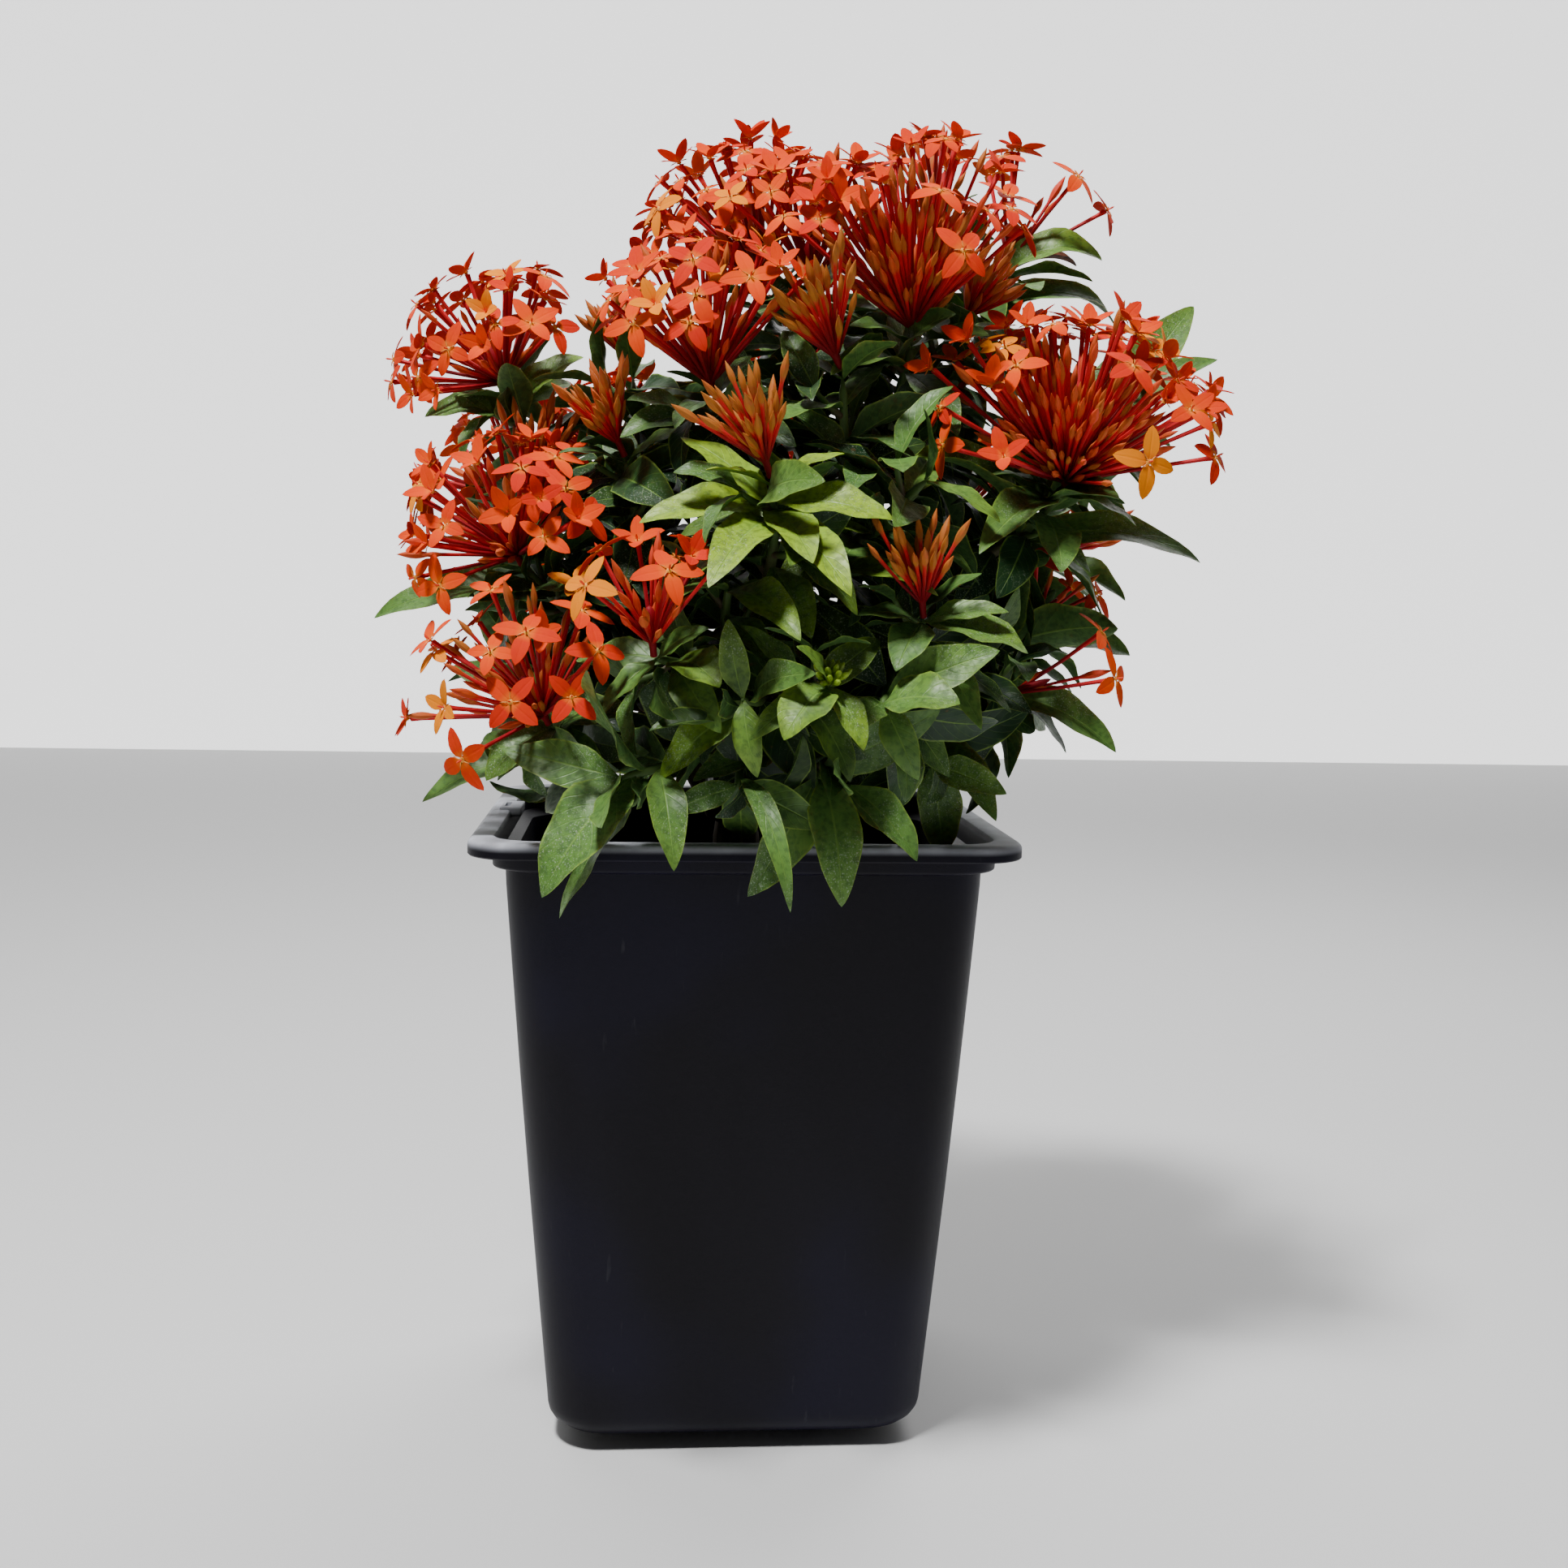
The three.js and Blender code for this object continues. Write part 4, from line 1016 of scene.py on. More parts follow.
for leaf in leaves:
    thicket.put(*leafOutline(leaf))
for head in heads:
    for one in head["florets"]:
        thicket.put(*floretOutline(one))
print(len(leaves), "leaves and", sum(len(h["florets"]) for h in heads), "florets stand as in the model")

# large leaves that show
shapes = dice(seeds["looks"] + 1)
# Each has its stem, its place along it, the leaf's tip, width, droop, fold and youth; a dry one has none.
showLeaves = [
    ("low_front", 0.85, (-78, -150, 242), 27, 60, 0.25, 0.1),
    ("low_front", 0.7, (-30, -134, 258), 15, 60, 0.3, 0.2),
    ("low_front_3", 0.4, (-23, -122, 286), 17, 40, 0.3, 0.1),
    ("low_front_2", 0.8, (12, -138, 248), 9, 110, 0.3, 0.1),
    ("low_front_3", 0.65, (24, -134, 255), 16, 60, 0.4, 0),
    ("low_front_3", 0.8, (32, -142, 242), 20, 70, 0.2, 0),
    ("low_front_3", 1, (60, -140, 259), 15, 50, 0.5, 0),
    ("low_right", 0.45, (88, -91, 266), 17, 50, 0.5, 0),
    ("low_right_buds_2", 1, (73, -148, 318), 22, 50, 0.3, 0.25),
    ("young_front", 0.95, (8, -160, 305), 20, 60, 0.3, 0.45),
    ("low_right_buds", 0.97, (103, -131, 333), 21, 45, 0.3, 0.25),
    ("low_right_buds", 0.93, (51, -135, 329), 17, 45, 0.3, 0),
    ("right", 0.2, (181, -54, 373), 21, 70, 0.3, 0.1), ("far_right", 0.9, (171, -37, 327), 21, 50, 0.4, 0),
    ("far_right_2", 0.9, (151, -77, 295), 17, 60, 0.4, 0),
    ("right_side", 0.95, (176, 8, 357), 18, 50, 0.5, 0), ("right_2", 1, (197, -8, 486), 20, 40, 0.4, 0.1),
    ("right_2", 0.95, (201, -16, 466), 17, 60, 0.4, 0),
    ("top_right", 0.95, (158, 2, 506), 18, 110, 0.5, 0.3),
    ("top_right", 0.85, (168, 18, 488), 18, 120, 0.4, 0), ("top_right", 1, (150, 8, 503), 8, 80, 0.9, None),
    ("upper_left", 0.92, (-77, 0, 457), 16, 50, 0.4, 0.4),
    ("upper_left", 0.9, (-75, -8, 441), 16, 50, 0.4, 0.35),
    ("upper_left", 0.85, (-137, -10, 427), 17, 60, 0.4, 0),
    ("right", 0.55, (69, -84, 411), 24, 75, 0.7, 0.2), ("right", 0.7, (74, -74, 420), 25, 60, 0.7, 0.35),
    ("centre_buds", 0.25, (68, -100, 366), 21, 60, 0.3, 0.5),
    ("centre_buds_2", 0.3, (15, -102, 353), 17, 60, 0.4, 0.4),
    ("low_left", 0.85, (-102, -99, 283), 19, 60, 0.3, 0.25),
    ("low_left_2", 0.95, (-128, -86, 273), 16, 50, 0.4, 0), ("left", 0.9, (-152, -44, 352), 18, 50, 0.3, 0),
    ("low_left", 0.8, (-46, -102, 309), 19, 50, 0.3, 0.3),
    ("low_centre", 0.6, (-14, -136, 322), 20, 60, 0.3, 0.4),
    ("low_centre_2", 0.9, (14, -152, 340), 18, 55, 0.4, 0.4),
    ("front_buds", 0.8, (-44, -130, 384), 18, 40, 0.3, 0.85),
    ("front_buds", 0.82, (48, -140, 384), 19, 40, 0.3, 0.85),
    ("front_buds", 0.7, (-20, -168, 366), 19, 50, 0.3, 0.8),
    ("front_buds", 0.68, (30, -168, 356), 18, 50, 0.3, 0.75),
    ("top_centre", 0.8, (28, -100, 440), 18, 50, 0.4, 0.3),
    ("right", 0.85, (84, -110, 376), 19, 55, 0.5, 0.1),
    ("centre_left", 0.8, (-52, -84, 416), 17, 50, 0.4, 0.1),
]
# Ways to move such a leaf to where there is room, tried in turn: tip, share of width, place.
nudges = [
    (Vector(away), narrow, shift) for narrow in (1, 0.8, 0.65) for shift in (0, -0.12, 0.1, -0.25)
    for away in (
        (0, 0, 0), (0, -8, -3), (0, 8, 3), (0, -16, -6), (8, -4, 0), (-8, -4, 0), (0, -4, 8), (0, -4, -8),
        (0, 16, 6), (8, -16, 4), (-8, -16, 4), (0, 24, 9), (0, -24, -9))
]


def aimLeaf(root, tip, width, droopDegrees, fold, roll):
    # a leaf from its root to its tip, with its face to the front, bending down by the droop on the way
    chord = tip - root
    droop = math.radians(droopDegrees)
    cos, sin = math.cos(droop / 2), math.sin(droop / 2)
    straight = chord.normalized()
    sink = Vector((0, 0.65, -0.75))
    sink = (sink - straight * sink.dot(straight)).normalized()
    return {
        "start": root, "ahead": straight * cos - sink * sin, "down": sink * cos + straight * sin,
        "width": width, "length": chord.length * (droop / 2) / sin, "droop": droop, "roll": roll,
        "fold": fold,
    }


stemNamed = {stem["name"]: (stem, group["name"]) for group in groups for stem in group["stems"]}
for stemName, t, tip, width, droop, fold, youth in showLeaves:
    stem, groupName = stemNamed[stemName]
    roll = shapes(-0.3, 0.3)
    for nudge, narrow, shift in nudges:
        root = placeOn(stem, min(1, t + shift))[0]
        way = aimLeaf(root, Vector(tip) + nudge, width * narrow, droop, fold, roll)
        outline = leafOutline(way)
        if thicket.isClear(*outline):
            thicket.put(*outline)
            leaves.append({**way, "group": groupName, "youth": youth or 0, "dry": youth is None})
            break
    else:
        print("no room for the leaf on", stemName, tip)

# more flower tubes in each head
# Ways a tube may give way to its neighbours, tried in turn: share of its length and turn.
tries = {
    "open": [(1, 0), (1, 0.8), (0.93, 0.4), (0.93, 1.2), (0.86, 0.2), (0.86, 1.0), (1.06, 0.6)],
    "bud": [(share, 0) for share in (1, 0.94, 0.88, 0.8, 0.7, 0.6, 0.5)],
}
opening = {
    "lift": (-0.3, 0.95), "size": (0.72, 0.98), "nod": 0.42, "outward": 0.5, "budLength": (0.58, 1.06),
    "outerShort": 0.35, "budSize": 0.94, "shut": 0.72, "front": -0.45, "side": 0.5,
}
stillShut = ("right", "top_centre")  # heads whose front florets are still buds
# More sets of tubes for the fullest heads: open florets, buds, looseness and share of length.
fuller = {
    "right": ((26, 70, 0.9, 1), (30, 50, 0.62, 1)),
    "top_centre": ((30, 34, 0.95, 1.18), (30, 30, 0.65, 1.22)),
}
turned = {"right": Vector((0.1, -1, 0.35)), "top_centre": Vector((0, -1, 0.6))}  # where florets look


def findRoom(one, kind):
    # the first way in which a tube has room, which it then takes
    for share, turn in tries[kind]:
        way = {**one, "length": one["length"] * share, "spin": one["spin"] + turn}
        way["lift"] = one["lift"] + 0.35 * turn
        outline = floretOutline(way)
        if thicket.isClear(*outline):
            thicket.put(*outline)
            return [way]
    if kind == "bud":
        return []
    way = {**one, "isOpen": False, "length": one["length"] * opening["shut"]}
    outline = floretOutline(way)
    if not thicket.isClear(*outline):
        return []
    thicket.put(*outline)
    return [way]


for head in heads:
    stem = head["stem"]
    openCount, budCount, _ = headLook.get(head["name"], headDefault)
    draw = dice(stem["floretSeed"] + 51)
    more = floretsOf(stem, stem["floretSeed"] + 50, openCount, budCount, 0.97)
    more += floretsOf(stem, stem["floretSeed"] + 70, openCount // 2, budCount // 2, 0.75)
    for number, (*extra, share) in enumerate(fuller.get(head["name"], ())):
        tubes = floretsOf(stem, stem["floretSeed"] + 90 + 20 * number, *extra)
        more += [{**one, "length": one["length"] * share} for one in tubes]
    for one in more:
        nod = Vector((draw(-1, 1), draw(-1, 1), draw(-1, 1))) * opening["nod"]
        outward = turned.get(head["name"], Vector((stem["tip"].x * 0.6, stem["tip"].y, 25)))
        one["face"] = (one["ahead"] + nod + outward.normalized() * opening["outward"]).normalized()
        one["lift"], one["size"] = draw(*opening["lift"]), draw(*opening["size"])
        across, inward = one["ahead"].xy
        if head["name"] in stillShut and inward < opening["front"] and abs(across) < opening["side"]:
            one["isOpen"] = False
        if not one["isOpen"]:
            one["size"] *= opening["budSize"]
            outer = min(1, 1.6 * (1 - one["ahead"].dot(stem["lean"])))
            one["length"] *= draw(*opening["budLength"]) * (1 - opening["outerShort"] * outer)
        head["florets"] += findRoom(one, "open" if one["isOpen"] else "bud")
print(sum(len(h["florets"]) for h in heads), "florets and buds in all")

# more leaves: lower pairs, and leafy side shoots that fill the crown
# shade takes tone off the leaves that fill the crown, as painted shade
sideShoot = {
    "places": (0.08, 0.26, 0.44, 0.62, 0.78), "few": (0.3, 0.7), "inner": (0.15, 0.5, 0.85),
    "reach": (18, 36), "size": (0.78, 1.12), "largest": 46, "pairs": 3, "droopDegrees": 45, "swing": 2.4,
    "breadth": (0.88, 1.18), "fold": (0.8, 2.4), "droop": (0.6, 1.3), "youth": 0.25, "shade": 0.3,
    "lowest": 274, "bare": {"x": (84, 130), "below": 302}, "radii": (1.5, 1.0),
    "open": ("low_front", "low_right", "young_front", "low_right_buds", "low_left", "low_centre"),
}


def growLeaf(leaf, groupName):
    breadth, fold, droop = (shapes(*sideShoot[key]) for key in ("breadth", "fold", "droop"))
    for way in leaf["ways"]:
        way = {**way, "width": way["width"] * breadth, "fold": way["fold"] * fold}
        way["droop"] *= droop
        outline = leafOutline(way)
        tip, bare = leafTip(way), sideShoot["bare"]
        if bare["x"][0] < tip.x < bare["x"][1] and tip.z < bare["below"]:
            continue
        if tip.z > sideShoot["lowest"] and thicket.isClear(*outline):
            thicket.put(*outline)
            youth = youthOf.get(groupName, 0.05) * sideShoot["youth"] * (1 - 0.2 * leaf["pair"])
            leaves.append({**way, "group": groupName, "youth": youth, "shade": sideShoot["shade"]})
            return True
    return False


def growShoot(groupName, root, axis, azimuth, size, seed):
    draw = dice(seed)
    side, up = squareTo(axis)
    out = side * math.cos(azimuth) - up * math.sin(azimuth)
    ahead = (out * 0.8 + axis * 0.55 + Vector((0, 0, 0.2))).normalized()
    tip = root + ahead * draw(*sideShoot["reach"])
    lean = (ahead + Vector((0, 0, 0.4))).normalized()
    turnDegrees, leafSize = draw(0, 90), size * draw(*sideShoot["size"])
    young = {
        "tip": tip, "lean": lean, "curve": bow(root, ahead, tip, lean),
        "length": shoot["longer"] * (root - tip).length,
        "leaves": (sideShoot["pairs"], turnDegrees, leafSize, sideShoot["droopDegrees"]),
    }
    if any([growLeaf(leaf, groupName) for leaf in leavesOf(young, seed + 1)]):
        shoots.append({"group": groupName, "stem": young, "radii": sideShoot["radii"]})


for group in groups:
    for stem in group["stems"]:
        for leaf in stem["spare"]:
            growLeaf(leaf, group["name"])
for group in groups:
    for stem in group["stems"]:
        first = dice(stem["sideSeed"])(0, 2 * math.pi)
        places = sideShoot["few" if group["name"] in sideShoot["open"] else "places"]
        size = min(stem["leaves"][2], sideShoot["largest"])
        for number, t in enumerate(places):
            root, axis = placeOn(stem, t)
            azimuth = first + number * sideShoot["swing"]
            growShoot(group["name"], root, axis, azimuth, size, stem["sideSeed"] + 7 * number)
for group in groups:
    start, end = group["twig"]
    axis = (end - start).normalized()
    seed = group["stems"][0]["sideSeed"] + 50
    for number, t in enumerate(sideShoot["inner"]):
        azimuth = seed + number * sideShoot["swing"]
        growShoot(group["name"], start.lerp(end, t), axis, azimuth, sideShoot["largest"], seed + 7 * number)
print(len(leaves), "leaves in all")


# pieces of the plant
stickShares = [k / masters["stick"]["rows"] for k in range(masters["stick"]["rows"] + 1)]


def addStick(bunch, line, girths, material):
    # a stem or branch with its ends closed
    girths[0] = girths[-1] = 0
    line[0] = line[0].lerp(line[1], 0.02)
    addSweep(bunch, masters["stick"], line, girths, material, stickShares)


def addStem(bunch, stem, radii):
    line = [placeOn(stem, share)[0] for share in stickShares]
    half = len(line) // 2
    line[half] = line[half] * 0.5 + (line[half - 1] + line[half + 1]) * 0.25
    addStick(bunch, line, [radii[0] + (radii[1] - radii[0]) * share for share in stickShares], "stem")


tuft = {
    "buds": 16, "reach": 10, "spread": 55, "youth": 0.75, "girth": (0, 0.5, 0.9, 1.25, 1.1, 0.5, 0),
    "shares": (0.05, 0.3, 0.55, 0.72, 0.86, 0.95, 1.0),
}


def addTuft(bunch, stem):
    # a head's first small green buds
    side, up, ahead = frameOf(stem["lean"])
    start = np.array(stem["tip"])
    for k in range(tuft["buds"]):
        polar = math.radians(tuft["spread"]) * math.sqrt((k + 0.5) / tuft["buds"])
        azimuth = k * goldenAngle
        out = side * math.cos(azimuth) + up * math.sin(azimuth)
        way = (ahead * math.cos(polar) + out * math.sin(polar)) * tuft["reach"]
        line = [start + way * share for share in tuft["shares"]]
        addSweep(bunch, masters["smallBud"], line, tuft["girth"], "leaf", [0.5] * 7, across=0.5,
                 tone=looks(0, 1), youth=tuft["youth"])


looks = dice(seeds["looks"])
# how far in and how low a leaf is sets its tone: the darkening is partly older leaves, partly painted shade
crown = {
    "middle": Vector((20, -10, 350)), "inner": 72, "depth": 84, "lowest": 240, "fresh": 110,
    "low": 0.62, "spread": 0.25, "wave": 6.3, "youths": (-0.1, 0.12),
}


def toneWithShadeOf(leaf):
    # a leaf deep in the crown, low in it or filling it in is darker than one at its outside: partly older
    # leaves, partly painted shade where the crown shades itself
    tip = leafTip(leaf)
    out = ((tip - crown["middle"]).length - crown["inner"]) / crown["depth"]
    high = min(1, max(0, (tip.z - crown["lowest"]) / crown["fresh"]))
    out = min(1, max(0, out)) * (crown["low"] + (1 - crown["low"]) * high) - leaf.get("shade", 0)
    return out + looks(-crown["spread"], crown["spread"])


for group in groups:
    name = group["name"]
    bunch = Bunch()
    for grown in shoots:
        if grown["group"] == name:
            addStem(bunch, grown["stem"], grown["radii"])
    for leaf in leaves:
        if leaf["group"] == name:
            leaf["phase"] = looks(0, crown["wave"])
            youth = max(0, looks(*crown["youths"]) + leaf["youth"])
            addLeaf(bunch, leaf, toneWithShadeOf(leaf), youth, "dry" if leaf.get("dry") else "leaf")
    if name == "young_front":
        addTuft(bunch, group["stems"][0])
    bunch.piece("leaves_" + name, "leafy_stem_" + name, "leaf")
print("leafy stems are made")

# What a head's tubes spring from: the stalk's heights and radii, then, as shares of the head's reach
# and over its base, those of its core, which is full with enough florets.
heart = {
    "stalk": ((0.3, 0), (1, 1.4), (3, 1.3)), "full": 22, "amber": 0.07,
    "core": ((-0.05, 0.03), (0, 0.045), (0.05, 0.058), (0.09, 0.065), (0.16, 0.06), (0.21, 0.045),
             (0.24, 0.025), (0.26, 0)),
}
for head in heads:
    stem, name = head["stem"], head["name"]
    bunch, reach = Bunch(), stem["head"][0]
    girth = min(1.0, math.sqrt(len(head["florets"]) / heart["full"]))
    profile = [*heart["stalk"]]
    profile += [(fan["base"] + high * reach, wide * reach * girth) for high, wide in heart["core"]]
    line = [stem["tip"] + stem["lean"] * high for high, _ in profile]
    addSweep(bunch, masters["stick"], line, [wide for _, wide in profile], "tube", [0.1] * len(line))
    for one in head["florets"]:
        one["youth"], one["amber"] = headLook.get(name, headDefault)[2], heart["amber"]
        if one["isOpen"]:
            addOpenFloret(bunch, one, looks)
        else:
            addBud(bunch, one, looks)
    bunch.piece("blooms_" + name, "flower_head_" + name, "flower")
print("flower heads are made")

wood = Bunch()
rise = np.linspace(0, 1, len(trunk["girths"]))
heights = trunk["bottom"] + (trunk["head"] + trunk["over"] - trunk["bottom"]) * rise
girths = trunk["radius"] * np.array(trunk["girths"])
line = [Vector((math.sin(4 * r) * trunk["sway"], math.cos(5 * r) * trunk["sway"], h))
        for r, h in zip(rise, heights)]
addSweep(wood, masters["trunk"], line, girths, "bark", rise)


def addBranch(points, radii, knot=0.25):
    # a woody stem through the points, with slight swellings
    spans = len(points) - 1
    line, girths = [], []
    for k, share in enumerate(stickShares):
        at = min(share * spans, spans - 1e-6)
        row = int(at)
        line.append(points[row].lerp(points[row + 1], at - row))
        girths.append(radii[row] + (radii[row + 1] - radii[row]) * (at - row) + knot * math.sin(2.3 * k))
    line[-1] = line[-1].lerp(line[-2], 0.02)
    addStick(wood, line, girths, "bark")


for limbEnd in limbEnds.values():
    addBranch(layOutLimb(limbEnd), limb["radii"])
for group in groups:
    addBranch(group["twig"], twigs["radii"])
wood.piece("branches", "woody_stems", "bark")
print("wood is made")

# pot
pot = {
    "width": 220, "height": 260, "wall": 2, "corner": 20, "cornerSteps": 10, "flange": 10, "edge": 2,
    "lipDrop": 6.5, "beadHalf": 101, "beadHeight": 7, "bodyTop": 96.5, "bodyBottom": 79.5, "swell": 0.6,
    "footHeight": 5, "soleInset": 10, "soleDrop": 12, "middle": 20,
    "foot": {"inner": 10.5, "outer": 51, "draft": 2.5, "tall": 8, "bevel": 1},
    "drain": {"radius": 5, "offset": 56, "sides": 24, "depth": 20},
    "lug": {"along": 26, "reach": 4.5, "thick": 4, "proud": 1, "y": 12, "slot": (14, 2.4)},
}
corners = ((1, 1), (-1, 1), (-1, -1), (1, -1))
beadBottom = pot["height"] - pot["lipDrop"] - pot["beadHeight"]


def bodyHalf(z):
    share = (z - pot["footHeight"] - pot["soleDrop"]) / (beadBottom - pot["footHeight"] - pot["soleDrop"])
    return pot["bodyBottom"] + (pot["bodyTop"] - pot["bodyBottom"]) * share


def roundedSquare(half, z):
    # a ring of points with the pot's corner radius
    steps = pot["cornerSteps"]
    radius = min(pot["corner"], half)
    ring = []
    for corner in range(4):
        middle = (corner + 0.5) * math.pi / 2
        reach = (half - radius) * math.sqrt(2)
        for k in range(steps + 1):
            turn = (corner + k / steps) * math.pi / 2
            ring.append(Vector((reach * math.cos(middle) + radius * math.cos(turn),
                                reach * math.sin(middle) + radius * math.sin(turn), z)))
    return ring


def arc(centre, radius, first, last, steps):
    # points (half width, height) on a round stretch of a profile, angles in degrees
    turns = [math.radians(first + (last - first) * k / steps) for k in range(steps + 1)]
    return [(centre[0] + radius * math.cos(a), centre[1] + radius * math.sin(a)) for a in turns]


def extrudeRings(name, profile):
    # extrudes a rounded square from ring to ring of the profile, and closes both ends
    rings = [roundedSquare(half, z) for half, z in profile]
    bpy.ops.mesh.primitive_circle_add(vertices=len(rings[0]), radius=1, fill_type="NOTHING")
    made = bpy.context.object
    made.name = name
    made.matrix_world = Matrix()
    for vertex, place in zip(made.data.vertices, rings[0]):
        vertex.co = place
    bpy.ops.object.mode_set(mode="EDIT")
    bpy.ops.mesh.select_all(action="SELECT")
    for ring in rings[1:]:
        bpy.ops.mesh.extrude_edges_move()
        mesh = bmesh.from_edit_mesh(made.data)
        moved = sorted((v for v in mesh.verts if v.select), key=lambda v: v.index)
        for vertex, place in zip(moved, ring):
            vertex.co = place
        bmesh.update_edit_mesh(made.data)
    bpy.ops.mesh.edge_face_add()
    mesh = bmesh.from_edit_mesh(made.data)
    for vertex in mesh.verts:
        vertex.select = False
    mesh.select_flush(False)
    bpy.ops.object.mode_set(mode="OBJECT")
    for k in range(len(rings[0])):
        made.data.vertices[k].select = True
    bpy.ops.object.mode_set(mode="EDIT")
    bpy.ops.mesh.edge_face_add()
    bpy.ops.mesh.select_all(action="SELECT")
    bpy.ops.mesh.normals_make_consistent(inside=False)
    bpy.ops.object.mode_set(mode="OBJECT")
    return made


def block(size, place, bevel):
    bpy.ops.mesh.primitive_cube_add(size=1, location=place, scale=size)
    made = bpy.context.object
    bpy.ops.object.transform_apply(location=True, rotation=False, scale=True)
    bpy.ops.object.mode_set(mode="EDIT")
    bpy.ops.mesh.select_all(action="SELECT")
    bpy.ops.mesh.bevel(offset=bevel, segments=3, affect="EDGES")
    bpy.ops.object.mode_set(mode="OBJECT")
    return made


def combine(piece, tool, operation):
    change = piece.modifiers.new(operation, "BOOLEAN")
    change.operation, change.solver, change.object = operation, "EXACT", tool
    bpy.ops.object.select_all(action="DESELECT")
    bpy.context.view_layer.objects.active = piece
    bpy.ops.object.modifier_apply(modifier=change.name)
    bpy.data.objects.remove(tool)


def handOver(made, material, node, angle):
    # sets a piece that was made in millimetres in its place, and gives it to the model
    for vertex in made.data.vertices:
        vertex.co = vertex.co * 0.001 + potAxis
    made.data.materials.clear()
    made.data.materials.append(materials[material])
    hand(made, node, angle)


def makePot():
    rim, top, edge, wall = pot["width"] / 2, pot["height"], pot["edge"], pot["wall"]
    foot, sole, inset = pot["footHeight"], pot["bodyBottom"], pot["soleInset"]
    # up the outside: the sole, its round edge, the wall, the bead, the lip and the rim
    profile = [(pot["middle"], foot), (sole - inset - 6, foot)]
    profile += [(sole - inset + inset * math.sin(a), foot + pot["soleDrop"] * (1 - math.cos(a)))
                for a in (0.3, 0.6, 0.9, 1.2, 1.45)]
    profile += [(bodyHalf(z) + pot["swell"] * math.sin(math.pi * (z - 17) / 230), z)
                for z in (20, 60, 110, 160, 205, 240)]
    profile += [(pot["bodyTop"] - 0.2, beadBottom), (pot["bodyTop"] + 1.2, beadBottom + 0.3)]
    profile += arc((pot["beadHalf"] - 1.2, beadBottom + 2.2), 1.2, -60, 0, 3)
    profile += [(pot["beadHalf"], top - wall - 0.8), (pot["beadHalf"] + 0.8, top - wall)]
    profile += [(rim - wall - 0.6, top - wall), (rim - wall, top - wall - 0.6)]
    profile += [(rim - wall, top - pot["lipDrop"] + 0.4), (rim - wall + 0.4, top - pot["lipDrop"])]
    profile += [(rim - 0.5, top - pot["lipDrop"]), (rim, top - pot["lipDrop"] + 0.6)]
    profile += arc((rim - edge - 0.5, top - edge - 0.5), edge + 0.5, 0, 90, 5)
    profile += [(rim - pot["flange"] + 1.4, top), (rim - pot["flange"] + 0.4, top - 0.4)]
    # down the inside, to the floor
    profile += [(rim - pot["flange"], top - 1.4), (rim - pot["flange"] - 0.2, beadBottom + edge + 1)]
    profile += [(pot["bodyTop"] - wall + 1, beadBottom), (bodyHalf(200) - wall, 200)]
    profile += [(bodyHalf(110) - wall, 110), (sole - wall, 18), (sole - 5, 10)]
    profile += [(sole - inset, foot + wall), (pot["middle"], foot + wall)]
    shell = extrudeRings("nursery_pot", profile)
    pad, wide = pot["foot"], pot["foot"]["outer"] - pot["foot"]["inner"]
    for across, deep in corners:
        x, y = (sign * (pad["inner"] + pad["outer"]) / 2 for sign in (across, deep))
        made = block((wide, wide, pad["tall"]), (x, y, pad["tall"] / 2), pad["bevel"])
        for vertex in made.data.vertices:
            taper = max(0.0, 1 - vertex.co.z / foot) * 2 * pad["draft"] / wide
            vertex.co.x -= (vertex.co.x - x) * taper
            vertex.co.y -= (vertex.co.y - y) * taper
        combine(shell, made, "UNION")
    drain = pot["drain"]
    for across, deep in corners:
        place = (across * drain["offset"], deep * drain["offset"], foot + 1)
        bpy.ops.mesh.primitive_cylinder_add(vertices=drain["sides"], radius=drain["radius"],
                                            depth=drain["depth"], location=place)
        combine(shell, bpy.context.object, "DIFFERENCE")
    lug = pot["lug"]
    size = (lug["reach"] + pot["flange"] / 2, lug["along"], lug["thick"])
    place = (pot["flange"] * 0.75 + lug["reach"] / 2 - rim, lug["y"], top + lug["proud"] - lug["thick"] / 2)
    combine(shell, block(size, place, 0.7), "UNION")
    slot = (lug["slot"][1], lug["slot"][0], 4 * lug["thick"])
    combine(shell, block(slot, (pot["flange"] - edge - rim, lug["y"], top), 0.5), "DIFFERENCE")
    handOver(shell, "pot", "pot", 30)


makePot()
print("pot is made")

# potting mix
mix = {
    "level": 228, "crown": 3, "rough": 1.6, "rings": 26, "gap": 0.4, "round": 1.2, "seed": 811,
    "crumbs": 420, "crumbSize": (0.8, 3.0), "perlite": 60, "perliteSize": (0.7, 1.6), "clear": 4,
    "shape": ((0.7, 1.5), (0.6, 1.1), (0.35, 0.8)), "uneven": (-0.2, 0.2), "lift": (-0.6, 0.8),
}


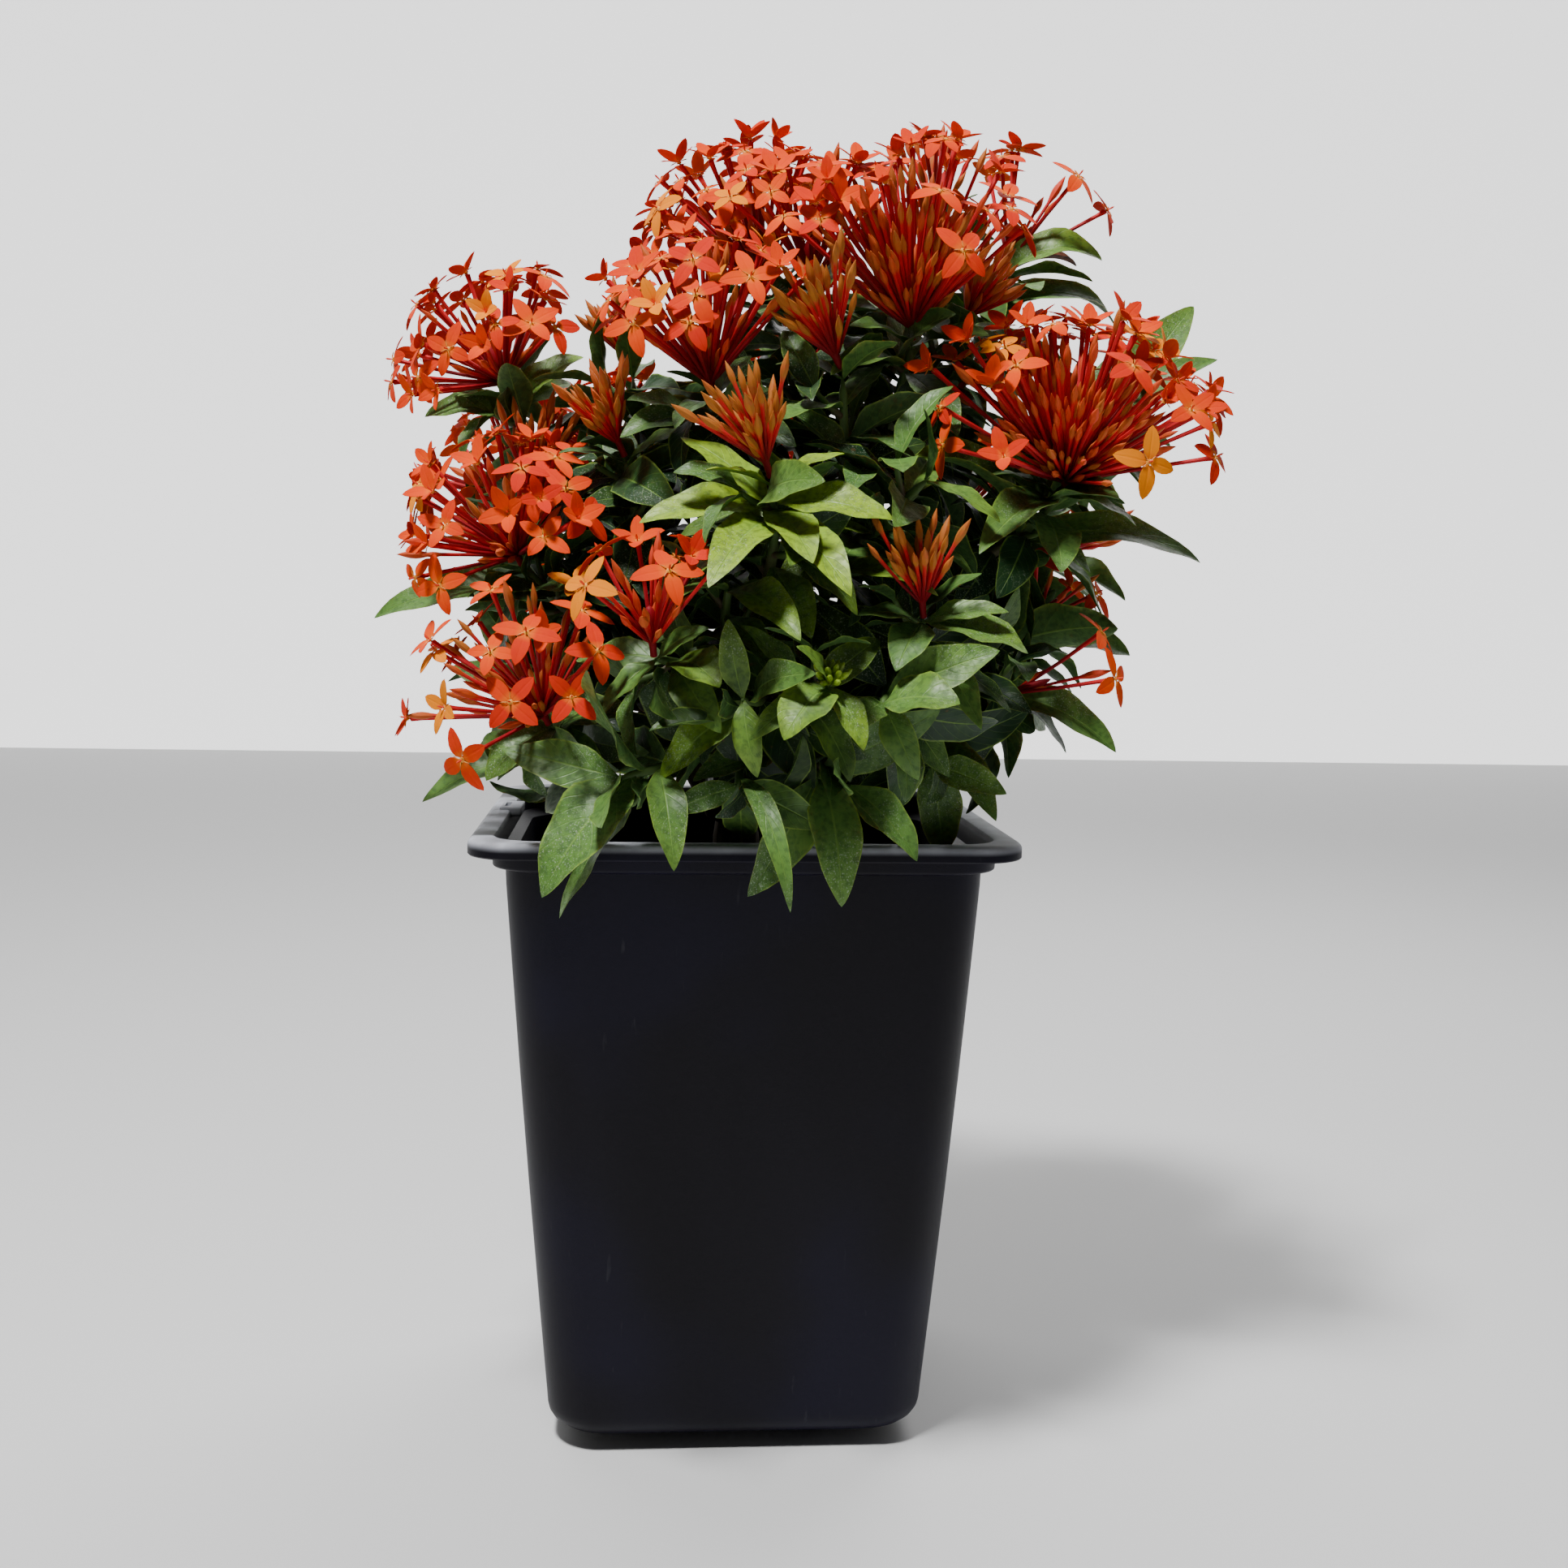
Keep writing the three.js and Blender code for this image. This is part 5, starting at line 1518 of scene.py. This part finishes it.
def makeCrumbs(inner, edgeHalf):
    # crumbs and white grains that lie on the mix
    draw = dice(mix["seed"])
    bpy.ops.mesh.primitive_ico_sphere_add(subdivisions=1, radius=1)
    at, faces = takeShape()
    points, allFaces, tones = [], [], []
    for number in range(mix["crumbs"]):
        isPerlite = number < mix["perlite"]
        x, y = draw(-1, 1) * (edgeHalf - mix["clear"]), draw(-1, 1) * (edgeHalf - mix["clear"])
        size = draw(*mix["perliteSize" if isPerlite else "crumbSize"])
        if math.hypot(x, y) < inner + mix["clear"]:
            continue
        shape = np.array([draw(*span) for span in mix["shape"]]) * size
        turn = np.array(Matrix.Rotation(draw(0, 6.3), 3, "Z") @ Matrix.Rotation(draw(-0.5, 0.5), 3, "X"))
        z = mix["level"] + mix["crown"] * 0.75 + draw(*mix["lift"])
        rough = np.array([1 + draw(*mix["uneven"]) for _ in at])[:, None]
        allFaces += [tuple(k + len(at) * len(points) for k in face) for face in faces]
        points.append((at * rough * shape) @ turn.T + [x, y, z])
        tones += [1.0 if isPerlite else 0.0] * len(at)
    bits = bpy.data.meshes.new("crumbs")
    bits.from_pydata(np.concatenate(points).tolist(), [], allFaces)
    layer = bits.attributes.new("tone", "FLOAT", "POINT")
    layer.data.foreach_set("value", tones)
    crumbs = bpy.data.objects.new("crumbs", bits)
    bpy.context.scene.collection.objects.link(crumbs)
    return crumbs


def makeSoil():
    level, inset = mix["level"], pot["wall"] + mix["gap"]
    edgeHalf, inner = bodyHalf(level) - inset, trunk["radius"] + mix["round"]
    # up the pot's wall, in over the top, and down round the trunk
    profile = [(pot["middle"], 7.5), (pot["bodyBottom"] - pot["soleInset"] - 1, 7.5)]
    profile += [(pot["bodyBottom"] - inset, 18), (edgeHalf - 0.2, level - 2)]
    for k in range(mix["rings"] + 1):
        share = k / mix["rings"]
        half = edgeHalf + (inner - edgeHalf) * share
        profile.append((half, level + mix["crown"] * math.sin(math.pi * min(1, share * 1.4)) * 0.8))
    profile += [(inner, level - 8), (inner, level - 40), (inner - 4, level - 44)]
    made = extrudeRings("crumbly_mix", profile)
    for vertex in made.data.vertices:
        if vertex.co.z > level - 1.5:
            lumps = noise.noise(vertex.co * 0.08) + 0.7 * noise.noise(vertex.co * 0.3)
            vertex.co.z += mix["rough"] * lumps
    crumbs = makeCrumbs(inner, edgeHalf)
    bpy.ops.object.select_all(action="DESELECT")
    crumbs.select_set(True)
    made.select_set(True)
    bpy.context.view_layer.objects.active = made
    bpy.ops.object.join()
    handOver(made, "soil", "potting_mix", 40)


makeSoil()
print("potting mix is made")
